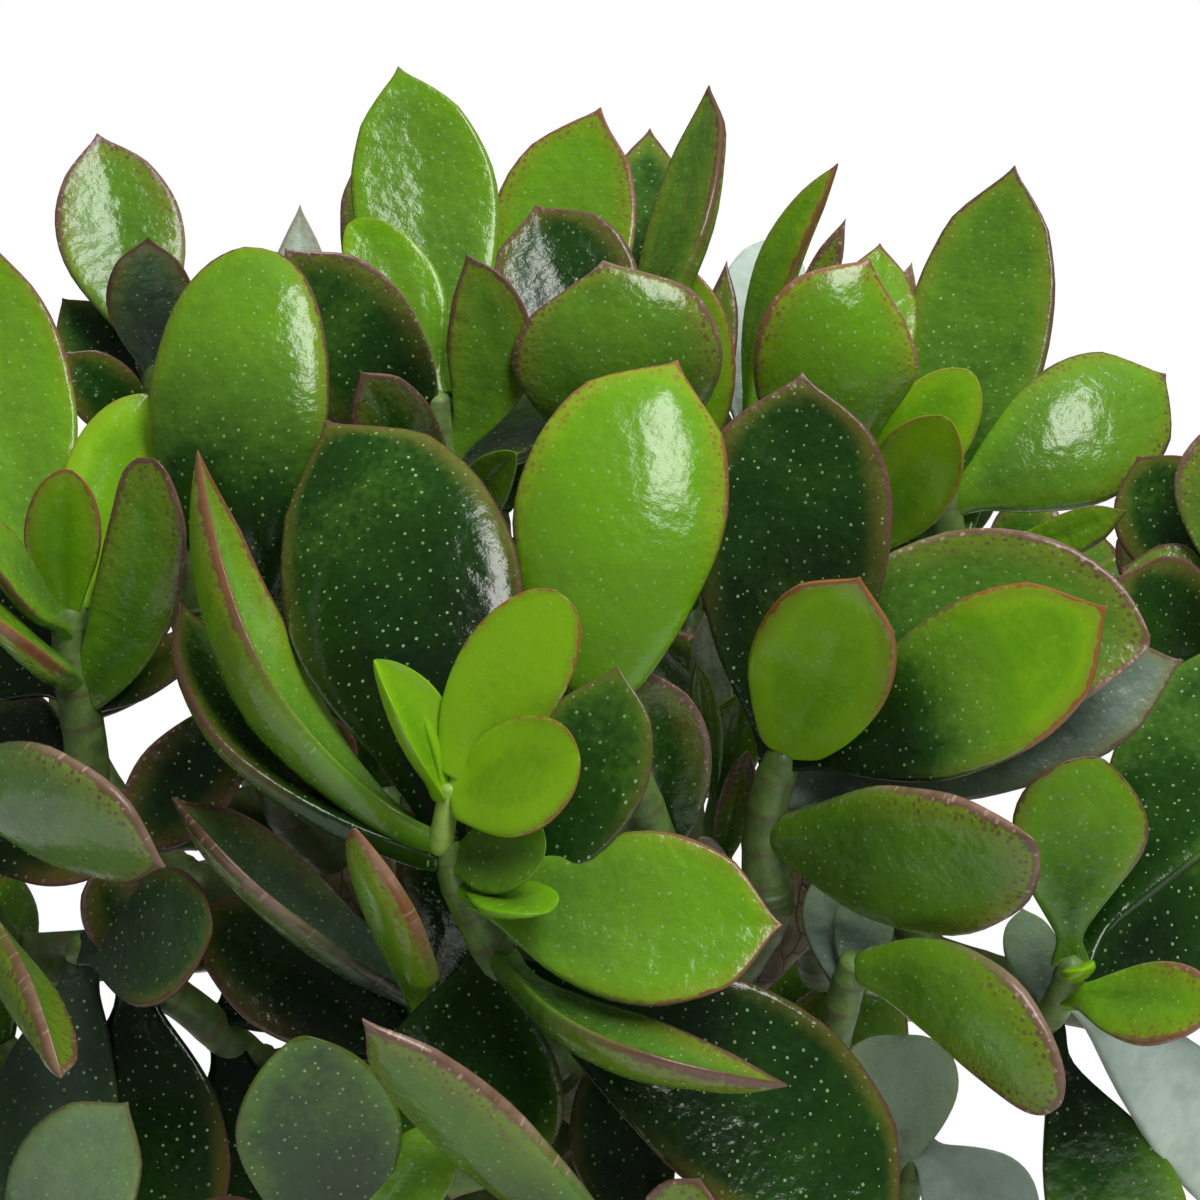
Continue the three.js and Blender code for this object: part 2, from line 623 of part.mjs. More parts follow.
// A leaf's frame: where its middle line runs and which way its upper side looks.
function leafFrame(leaf) {
  const chord = leaf.tip.clone().sub(leaf.root);
  const length = chord.length();
  chord.normalize();
  const up = leaf.face.clone().addScaledVector(chord, -leaf.face.dot(chord)).normalize();
  const side = new THREE.Vector3().crossVectors(chord, up);
  return { chord, up, side, length };
}

// A place on a leaf: t runs from root to tip, across from -1 to 1, above is mm off the blade.
function leafPoint(leaf, frame, t, across, above) {
  const arch = 4 * t * (1 - t);
  const slope = 4 * (1 - 2 * t);
  const point = leaf.root.clone().addScaledVector(frame.chord, t * frame.length);
  point.addScaledVector(frame.up, -leaf.bow * arch);
  point.addScaledVector(frame.side, leaf.sway * arch);
  const along = frame.chord.clone().multiplyScalar(frame.length);
  along.addScaledVector(frame.up, -leaf.bow * slope);
  along.addScaledVector(frame.side, leaf.sway * slope);
  along.normalize();
  const up = frame.up.clone().addScaledVector(along, -frame.up.dot(along)).normalize();
  const side = new THREE.Vector3().crossVectors(along, up);
  const half = halfWidth(leaf, t);
  point.addScaledVector(side, half * across);
  point.addScaledVector(up, leaf.cup * half * across * across + above);
  return point;
}

function halfWidth(leaf, t) {
  const form = FORMS[leaf.form];
  const point = form.base + (form.tip - form.base) * t;
  return (leaf.wide / 2) * Math.max(0, Math.sin(Math.PI * t ** form.shift)) ** point;
}

function leafThickness(frame) {
  return Math.min(THICK_MOST, Math.max(THICK_LEAST, THICK_SHARE * frame.length));
}

// A three.js shape with every vertex moved by a rule.
function moved(geometry, rule) {
  const place = geometry.attributes.position;
  const at = new THREE.Vector3();
  for (let i = 0; i < place.count; i += 1) {
    at.fromBufferAttribute(place, i);
    place.setXYZ(i, ...rule(at).toArray());
  }
  return geometry;
}

// One leaf: a ball drawn out along the leaf's middle line, thin at its edges.
function leafGeometry(leaf) {
  const frame = leafFrame(leaf);
  const thick = leafThickness(frame);
  const steps = leaf.grown ? GROWN_LEAF_ALONG : LEAF_ALONG;
  return moved(new THREE.SphereGeometry(1, LEAF_AROUND, steps), (p) => {
    const t = Math.min(1, Math.max(0, (1 + p.y) / 2));
    const ring = Math.hypot(p.x, p.z);
    const across = ring < 1e-6 ? 0 : p.x / ring;
    const lift = ring < 1e-6 ? 0 : p.z / ring;
    const share = lift > 0 ? UPPER_SHARE : 1 - UPPER_SHARE;
    const body = thick * Math.sqrt(Math.sin(Math.PI * t ** BODY_SHIFT)) * share;
    const above = Math.sign(lift) * body * Math.abs(lift) ** EDGE_THINNING;
    return leafPoint(leaf, frame, t, across, above);
  });
}

// A bar of round section along a curve; radius gives its size at a place from 0 to 1.
function barGeometry(curve, radius, sides, steps) {
  const steady = new THREE.Vector3(0.31, 0.87, 0.12);
  return moved(new THREE.CylinderGeometry(1, 1, 1, sides, steps), (p) => {
    const t = Math.min(1, Math.max(0, p.y + 0.5));
    const along = curve.getTangent(t);
    const right = new THREE.Vector3().crossVectors(along, steady).normalize();
    const over = new THREE.Vector3().crossVectors(right, along);
    const size = radius(t);
    return curve
      .getPoint(t)
      .addScaledVector(right, p.x * size)
      .addScaledVector(over, p.z * size);
  });
}

function solidOf(geometry) {
  const bare = new THREE.BufferGeometry();
  bare.setAttribute("position", geometry.attributes.position);
  bare.setIndex(geometry.index);
  const merged = mergeVertices(bare, 1e-3);
  const mesh = new wasm.Mesh({
    numProp: 3,
    vertProperties: merged.attributes.position.array,
    triVerts: new Uint32Array(merged.index.array),
  });
  return new wasm.Manifold(mesh);
}

// The largest body of a solid; crumbs that a cut leaves behind are dropped.
function largestBody(solid) {
  const bodies = solid.decompose();
  return bodies.reduce((best, body) => (body.volume() > best.volume() ? body : best));
}

function fused(solids) {
  return solids.reduce((whole, solid) => whole.add(solid));
}

function geometryOf(solid) {
  const mesh = solid.getMesh();
  const geometry = new THREE.BufferGeometry();
  geometry.setAttribute("position", new THREE.BufferAttribute(mesh.vertProperties, 3));
  geometry.setIndex(new THREE.BufferAttribute(mesh.triVerts, 1));
  return geometry.toNonIndexed();
}

function direction([right, rise, front]) {
  return new THREE.Vector3(right, -front, rise).normalize();
}

// A leaf starts a little off the stem's middle, well inside the stem.
function sunkRoot(point, tip) {
  return point.clone().addScaledVector(tip.clone().sub(point).normalize(), ROOT_OFF_AXIS);
}

// Fills in what a leaf's row leaves to the usual.
function leafOf(row, curve) {
  const tip = seen(row.tip);
  return {
    root: sunkRoot(curve.getPoint(Math.min(row.at, HIGHEST_ROOT)), tip),
    tip,
    face: direction(row.face ?? TOWARD),
    wide: row.wide,
    bow: row.bow ?? 0,
    cup: row.cup ?? CUP,
    sway: row.sway ?? 0,
    form: row.form,
  };
}

// A steady stream of chance numbers from 0 to 1.
function chance(seed) {
  let state = seed;
  return () => {
    state = (state * 1103 + 12345) % 65536;
    return state / 65536;
  };
}

// Points spread over a leaf's blade, from a share of its length on.
function spread(leaf, from) {
  const frame = leafFrame(leaf);
  const points = [];
  for (let step = 0; step <= 8; step += 1) {
    const t = from + ((1 - from) * step) / 8;
    for (const across of [-0.9, -0.45, 0, 0.45, 0.9]) {
      points.push(leafPoint(leaf, frame, t, across, 0));
    }
  }
  return points;
}

function skylineAt(across) {
  const next = SKYLINE.findIndex((corner) => corner[0] > across);
  if (next <= 0) return next === 0 ? SKYLINE[0][1] : SKYLINE.at(-1)[1];
  const [left, right] = [SKYLINE[next - 1], SKYLINE[next]];
  return left[1] + ((right[1] - left[1]) * (across - left[0])) / (right[0] - left[0]);
}

// Whether a point keeps under the skyline and out of the openings of the front view.
function hiddenInView(point) {
  const scale = (VIEW_STEP * (EYE_DISTANCE + point.y)) / EYE_DISTANCE;
  const across = VIEW_MIDDLE + point.x / scale;
  const down = VIEW_MIDDLE - (point.z - VIEW_HEIGHT) / scale;
  if (down < skylineAt(across) + SKY_MARGIN) return false;
  return OPENINGS.every(({ at, wide }) => Math.hypot(across - at[0], down - at[1]) > wide);
}

const taken = [];

function take(owner, points, reach) {
  for (const point of points) taken.push({ owner, point, reach });
}

function isClear(leaf, owner) {
  return spread(leaf, 0.3).every(
    (point) =>
      point.z > LOWEST_LEAF &&
      hiddenInView(point) &&
      taken.every((other) => {
        const room = (other.reach + LEAF_REACH) * (other.owner === owner ? OWN_ROOM : 1);
        return point.distanceTo(other.point) > room;
      }),
  );
}

// The turns, leans and lengths tried for a leaf, the nearest to the rule first.
function leafTries() {
  return TRIED_LENGTHS.flatMap((shrink) =>
    TRIED_LEANS.flatMap((more) => TRIED_TURNS.map((aside) => ({ aside, more, shrink }))),
  );
}

// A leaf that leaves its stem at a turn round it and a lean away from it, both in degrees.
function leafAt(curve, at, turn, lean, reach) {
  const along = curve.getTangent(at);
  const right = new THREE.Vector3(0, 1, 0).cross(along).normalize();
  const over = along.clone().cross(right);
  const angle = THREE.MathUtils.degToRad(turn);
  const tilt = THREE.MathUtils.degToRad(lean);
  const out = right.multiplyScalar(Math.cos(angle)).addScaledVector(over, Math.sin(angle));
  const chord = along.clone().multiplyScalar(Math.cos(tilt)).addScaledVector(out, Math.sin(tilt));
  const middle = curve.getPoint(at);
  const tip = middle.clone().addScaledVector(chord, reach);
  return {
    root: sunkRoot(middle, tip),
    tip,
    face: along,
    wide: reach * GROWN_WIDTH,
    bow: reach * GROWN_BOW,
    cup: CUP,
    sway: 0,
    form: "broad",
    grown: true,
  };
}

// Leaves in crossed pairs down a stem, shorter and steeper toward its top. A leaf that would
// cross another one turns, opens or shortens by set steps, and is left out if none is clear.
function crossedPairs(shoot, curve) {
  const draw = chance(shoot.name.length * 97 + shoot.turn);
  const grown = [];
  const length = curve.getLength();
  for (let place = 0; place < shoot.pairs * 2; place += 1) {
    const pair = Math.floor(place / 2);
    const at = Math.max(0.06, HIGHEST_ROOT - (pair * PAIR_STEP) / length);
    const turn = shoot.turn + pair * PAIR_TURN + (place % 2) * 180 + (draw() - 0.5) * TURN_CHANCE;
    const lean = Math.min(MOST_OPEN, LEAST_OPEN + pair * OPEN_STEP) + (draw() - 0.5) * OPEN_CHANCE;
    const share = Math.min(1, TOP_SHARE + pair * SHARE_STEP);
    const reach = shoot.reach * share * (1 + (draw() - 0.5) * SHARE_CHANCE);
    for (const { aside, more, shrink } of leafTries()) {
      const leaf = leafAt(curve, at, turn + aside, lean + more, reach * shrink);
      if (shoot.stem && leaf.tip.y - curve.getPoint(at).y < BACKWARD * reach * shrink) continue;
      if (!isClear(leaf, shoot.name)) continue;
      take(shoot.name, spread(leaf, 0.4), LEAF_REACH);
      grown.push(leaf);
      break;
    }
  }
  return grown;
}

const mm = (point) => new THREE.Vector3(...point);
const taper = ([foot, top]) => (t) => foot + (top - foot) * t;

// Every shoot's curve and leaves, the ones seen in front first.
function layShoots() {
  const shoots = [...SHOOTS, ...BACK_SHOOTS].map((shoot) => {
    const curve = curveOf(shoot.stem ? shoot.stem.map(seen) : shoot.line.map(mm));
    const leaves = (shoot.leaves ?? []).map((row) => leafOf(row, curve));
    for (const leaf of leaves) take(shoot.name, spread(leaf, 0.2), LEAF_REACH);
    take(shoot.name, curve.getPoints(6), shoot.thick[0]);
    return { ...shoot, curve, leaves };
  });
  for (const bar of woodBars(shoots)) {
    const steps = Math.ceil(bar.curve.getLength() / 6);
    take("wood", bar.curve.getPoints(steps), Math.max(...bar.thick));
  }
  for (const shoot of shoots) {
    if (shoot.pairs) shoot.leaves.push(...crossedPairs(shoot, shoot.curve));
  }
  return shoots;
}

// The limbs and twigs; a twig stops short of its shoot's foot by the clearance.
function woodBars(shoots) {
  const bars = Object.values(LIMBS).map(({ line, thick }) => {
    return { curve: curveOf(line.map(mm)), thick, sides: LIMB_SIDES };
  });
  for (const shoot of shoots) {
    const twig = TWIGS[shoot.name];
    if (!twig) continue;
    const foot = shoot.curve.getPoint(0);
    const along = shoot.curve.getTangent(0);
    const end = foot.clone().addScaledVector(along, -GAP);
    const before = end.clone().addScaledVector(along, -TWIG_RUN);
    const curve = curveOf([...twig.map(mm), before, end]);
    const thick = [shoot.thick[0] + 2 * TWIG_MORE, shoot.thick[0] + TWIG_MORE];
    bars.push({ curve, thick, sides: TWIG_SIDES });
  }
  return bars;
}

function shootSolid(shoot) {
  const stem = barGeometry(shoot.curve, taper(shoot.thick), STEM_SIDES, STEM_STEPS);
  return largestBody(fused([stem, ...shoot.leaves.map(leafGeometry)].map(solidOf)));
}

function woodSolid(shoots) {
  const trunk = curveOf([mm([0, 0, TRUNK_FOOT]), mm([0, 0, SOIL_TOP + 6]), mm([0, 0, FORK_HEIGHT])]);
  const flare = (t) => TRUNK_RADIUS - TRUNK_TAPER * Math.max(0, t - TAPER_FROM);
  const bars = woodBars(shoots).map(({ curve, thick, sides }) => {
    const steps = Math.max(2, Math.ceil(curve.getLength() / LIMB_STEP));
    return barGeometry(curve, taper(thick), sides, steps);
  });
  return largestBody(fused([barGeometry(trunk, flare, TRUNK_SIDES, 3), ...bars].map(solidOf)));
}

// The pot: a tapering bowl with a plain band round its rim and drain holes in its floor.
function potSolid() {
  const band = POT_HEIGHT - RIM_BAND_HEIGHT;
  const neck = POT_RIM_RADIUS - RIM_BAND_OUT;
  const inner = POT_RIM_RADIUS - POT_WALL;
  const profile = [
    [0, 0],
    [POT_FOOT_RADIUS - EDGE, 0],
    [POT_FOOT_RADIUS, EDGE],
    [neck, band],
    [POT_RIM_RADIUS - EDGE, band],
    [POT_RIM_RADIUS, band + EDGE],
    [POT_RIM_RADIUS, POT_HEIGHT - EDGE],
    [POT_RIM_RADIUS - EDGE, POT_HEIGHT],
    [inner + EDGE, POT_HEIGHT],
    [inner, POT_HEIGHT - EDGE],
    [inner, band],
    [POT_FOOT_RADIUS - POT_WALL, POT_FLOOR],
    [0, POT_FLOOR],
  ];
  let pot = solidOf(latheUpright(profile, POT_SIDES));
  for (let hole = 0; hole < DRAIN_HOLES; hole += 1) {
    const angle = ((hole + 0.5) * 2 * Math.PI) / DRAIN_HOLES;
    const drain = new THREE.CylinderGeometry(DRAIN_RADIUS, DRAIN_RADIUS, POT_FLOOR * 3, DRAIN_SIDES);
    drain.rotateX(Math.PI / 2);
    drain.translate(DRAIN_RING * Math.cos(angle), DRAIN_RING * Math.sin(angle), POT_FLOOR / 2);
    pot = pot.subtract(solidOf(drain));
  }
  return pot;
}

function latheUpright(profile, sides) {
  const points = profile.map(([radius, height]) => new THREE.Vector2(radius, height));
  return new THREE.LatheGeometry(points, sides).rotateX(Math.PI / 2);
}

// The soil fills the pot, a little heaped, with a plain hole for the trunk's foot.
function soilSolid() {
  const band = POT_HEIGHT - RIM_BAND_HEIGHT;
  const wall = POT_RIM_RADIUS - POT_WALL - GAP;
  const profile = [
    [0, POT_FLOOR + GAP],
    [POT_FOOT_RADIUS - POT_WALL - GAP, POT_FLOOR + GAP],
    [wall, band],
    [wall, SOIL_TOP - SOIL_HEAP],
    [wall * SOIL_FLAT_SHARE, SOIL_TOP],
    [0, SOIL_TOP],
  ];
  const reach = (TRUNK_RADIUS + GAP) / Math.cos(Math.PI / TRUNK_SIDES);
  const hole = new THREE.CylinderGeometry(reach, reach, SOIL_TOP, TRUNK_SIDES);
  hole.rotateX(Math.PI / 2);
  hole.translate(0, 0, TRUNK_FOOT - GAP + SOIL_TOP / 2);
  return solidOf(latheUpright(profile, POT_SIDES)).subtract(solidOf(hole));
}

// Colours and finishes.
const FINISHES = {
  terracotta: new THREE.MeshStandardMaterial({ color: 0xb06a48, roughness: 0.85, metalness: 0 }),
  soil: new THREE.MeshStandardMaterial({ color: 0x3a2b20, roughness: 1, metalness: 0 }),
  bark: new THREE.MeshStandardMaterial({ color: 0x5a5138, roughness: 0.8, metalness: 0 }),
  leaf: new THREE.MeshStandardMaterial({ color: 0x3f7a1e, roughness: 0.3, metalness: 0 }),
  young_leaf: new THREE.MeshStandardMaterial({ color: 0x76a81c, roughness: 0.35, metalness: 0 }),
};

const plant = new THREE.Group();

function addNode(name, solid, finish) {
  const mesh = new THREE.Mesh(geometryOf(solid), FINISHES[finish]);
  mesh.name = name;
  plant.add(mesh);
}

const shoots = layShoots();
addNode("pot", potSolid(), "terracotta");
addNode("soil", soilSolid(), "soil");
addNode("trunk_and_branches", woodSolid(shoots), "bark");
for (const shoot of shoots) {
  addNode(shoot.name, shootSolid(shoot), shoot.name === "sprig_front" ? "young_leaf" : "leaf");
}

export default plant;
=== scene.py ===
"""A jade plant in a plain round clay pot: thick glossy leaves on short woody branches."""

import functools
import math

import bmesh
import bpy
import numpy as np
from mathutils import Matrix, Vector, noise


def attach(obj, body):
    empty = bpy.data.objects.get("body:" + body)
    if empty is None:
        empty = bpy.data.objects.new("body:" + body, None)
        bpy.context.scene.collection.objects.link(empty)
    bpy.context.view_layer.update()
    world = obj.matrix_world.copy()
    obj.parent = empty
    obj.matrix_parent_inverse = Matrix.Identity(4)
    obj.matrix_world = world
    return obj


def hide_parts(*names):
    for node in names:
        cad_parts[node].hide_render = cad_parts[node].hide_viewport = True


bl_info = {
    "name": "Potted jade plant",
    "version": (1, 0, 0),
    "blender": (4, 5, 0),
    "location": "3D View > Sidebar > Jade plant",
    "description": "Builds the pot, soil, branches and leafy shoots of a potted jade plant",
    "category": "Object",
}

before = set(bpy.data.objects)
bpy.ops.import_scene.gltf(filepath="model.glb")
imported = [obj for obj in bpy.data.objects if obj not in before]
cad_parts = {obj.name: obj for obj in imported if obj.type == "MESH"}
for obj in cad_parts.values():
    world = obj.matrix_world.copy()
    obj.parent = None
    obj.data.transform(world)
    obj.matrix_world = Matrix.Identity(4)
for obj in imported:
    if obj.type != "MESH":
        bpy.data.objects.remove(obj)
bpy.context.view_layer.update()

# The plant is laid out in millimetres and written to the meshes in metres.
MM = 0.001
BODY = "root"
GAP = 0.3

# Pot and soil, in millimetres.
POT_HEIGHT = 130
POT_RIM_RADIUS = 76
POT_FOOT_RADIUS = 54
POT_WALL = 6
RIM_BAND_HEIGHT = 22
RIM_BAND_OUT = 4
POT_FLOOR = 8
DRAIN_RADIUS = 5
DRAIN_RING = 26
DRAIN_HOLES = 3
SOIL_TOP = 120
SOIL_HEAP = 4
SOIL_FLAT_SHARE = 0.6

# Steps that a curve's direction and its length are taken over.
TANGENT_STEP = 1e-4
LENGTH_STEPS = 200

# Trunk and branches.
TRUNK_RADIUS = 13
TRUNK_TAPER = 2.5
TAPER_FROM = 0.45
TRUNK_FOOT = 84
FORK_HEIGHT = 172
TWIG_RUN = 5
TWIG_MORE = 0.4
HIGHEST_ROOT = 0.9
ROOT_OFF_AXIS = 1.5

# The front view places the shoots: a point is named by its place in a square view of
# 1200 steps a side and by its distance in front of the trunk's plane.
EYE_DISTANCE = 650
VIEW_STEP = 0.2
VIEW_MIDDLE = 600
VIEW_STEPS = 1200
VIEW_HEIGHT = 270

# Leaf forms: where the widest place sits, and how pointed the outline is at its base and at
# its tip, from 1 (pointed) down.
FORMS = {
    "ovate": (1.3, 0.85, 0.72),
    "broad": (1.3, 0.7, 0.58),
    "spoon": (1.7, 0.8, 0.6),
    "round": (1.5, 0.6, 0.48),
    "oval": (1.1, 0.6, 0.6),
    "square": (1.2, 0.45, 0.36),
    "full": (1.4, 0.6, 0.5),
    "shield": (1.15, 0.42, 0.52),
    "wedge": (2.4, 0.9, 0.25),
}
CUP = 0.12
THICK_SHARE = 0.1
THICK_LEAST = 3
THICK_MOST = 5.6
UPPER_SHARE = 0.35
BODY_SHIFT = 0.7

# The stream of chance numbers.
CHANCE_TIMES = 1103
CHANCE_PLUS = 12345
CHANCE_STEPS = 65536

# Leaves placed by rule. They stand in crossed pairs down a stem.
PAIR_STEP = 8
PAIR_TURN = 90
TURN_CHANCE = 20
LEAST_OPEN = 24
OPEN_STEP = 22
MOST_OPEN = 80
OPEN_CHANCE = 10
TOP_SHARE = 0.62
SHARE_STEP = 0.2
SHARE_CHANCE = 0.2
GROWN_WIDTH = 0.6
GROWN_BOW = 0.06
FRONT_REACH = 44
LOWEST_PAIR = 0.06
PAIR_SEED = 97
TRIED_LENGTHS = (1, 0.85, 0.7)
TRIED_LEANS = (0, 14, -14)
TRIED_TURNS = (0, 16, -16, 32, -32)

# Room a placed leaf keeps: round its blade, to its own shoot's leaves as a share, and to the
# lowest height, to the front half and to the upper edge of the front view.
LEAF_REACH = 4.2
OWN_ROOM = 0.55
BACKWARD = 0.25
LOWEST_LEAF = 136
SKY_MARGIN = 12

# Where a blade is tested: rows of points along and across it, and the share of its length
# left out at its root, for a leaf being tried, one listed and one placed by rule.
SPREAD_STEPS = 8
SPREAD_ACROSS = (-0.9, -0.45, 0, 0.45, 0.9)
NEAR_SHARE = 0.3
LAID_SHARE = 0.2
GROWN_SHARE = 0.4
STEM_PLACES = 6
WOOD_STEP = 6

# Faces, as right, rise and front: the usual one, and that of a leaf that shows its back.
TOWARD = (0, 0.3, 1)
AWAY = (0, -0.3, -1)


def unit(vector):
    """The vector at length 1."""
    return vector / np.linalg.norm(vector)


def seen(place):
    """A point named by its place in the front view, in millimetres."""
    across, down, near = place
    scale = VIEW_STEP * (EYE_DISTANCE - near) / EYE_DISTANCE
    return np.array(
        [(across - VIEW_MIDDLE) * scale, -near, VIEW_HEIGHT + (VIEW_MIDDLE - down) * scale]
    )


class Curve:
    """A smooth centripetal curve through points, leaving its ends along the end chords."""

    def __init__(self, points):
        self.points = [np.array(p, float) for p in points]

    def point(self, t):
        last = len(self.points) - 1
        place = last * t
        step = min(math.floor(place), last - 1)
        share = place - step
        p1, p2 = self.points[step], self.points[step + 1]
        p0 = self.points[step - 1] if step > 0 else 2 * p1 - p2
        p3 = self.points[step + 2] if step + 2 <= last else 2 * p2 - p1
        d0, d1, d2 = (np.dot(b - a, b - a) ** 0.25 for a, b in ((p0, p1), (p1, p2), (p2, p3)))
        out = ((p1 - p0) / d0 - (p2 - p0) / (d0 + d1) + (p2 - p1) / d1) * d1
        into = ((p2 - p1) / d1 - (p3 - p1) / (d1 + d2) + (p3 - p2) / d2) * d1
        square = -3 * p1 + 3 * p2 - 2 * out - into
        cube = 2 * p1 - 2 * p2 + out + into
        return p1 + out * share + square * share**2 + cube * share**3

    def tangent(self, t):
        return unit(self.point(min(1, t + TANGENT_STEP)) - self.point(max(0, t - TANGENT_STEP)))

    def places(self, steps):
        return np.array([self.point(i / steps) for i in range(steps + 1)])

    def length(self):
        return float(np.linalg.norm(np.diff(self.places(LENGTH_STEPS), axis=0), axis=1).sum())


def leaf(
    at, tip, wide, form, tone, sway=0, bow=0, cup=CUP, face=TOWARD, bloom=0, rim=None, root_shade=0
):
    """A leaf's row: its place on the stem, its tip in the front view, its width and form, its
    tone from dark (0) to lime (1), its bends and how deeply it is cupped, the way it faces
    (right, rise, front), its blue-grey bloom, how strong its rim is (by chance if not given)
    and how far painted shade darkens it toward its root."""
    return {"at": at, "tip": tip, "wide": wide, "form": form, "tone": tone, "sway": sway,
            "bow": bow, "cup": cup, "face": face, "bloom": bloom, "rim": rim, "root_shade": root_shade}


def shoot(stem, thick, leaves, pairs=0, turn=0):
    """A shoot seen in the front view: its stem's points from the lower end up, the stem's
    radius at its foot and top, its listed leaves, and how many crossed pairs grow on it
    from which turn round the stem."""
    curve = Curve([seen(point) for point in stem])
    return {"curve": curve, "thick": thick, "leaves": leaves, "pairs": pairs, "turn": turn,
            "reach": FRONT_REACH, "in_front": True}


def back_shoot(line, turn, reach=54, thick=(4.4, 2.8), pairs=3, leaves=()):
    """A shoot that the front view leaves out: its stem's points are in millimetres, and reach
    is the length of its longest leaves."""
    return {"curve": Curve(line), "thick": thick, "leaves": leaves, "pairs": pairs, "turn": turn,
            "reach": reach, "in_front": False}


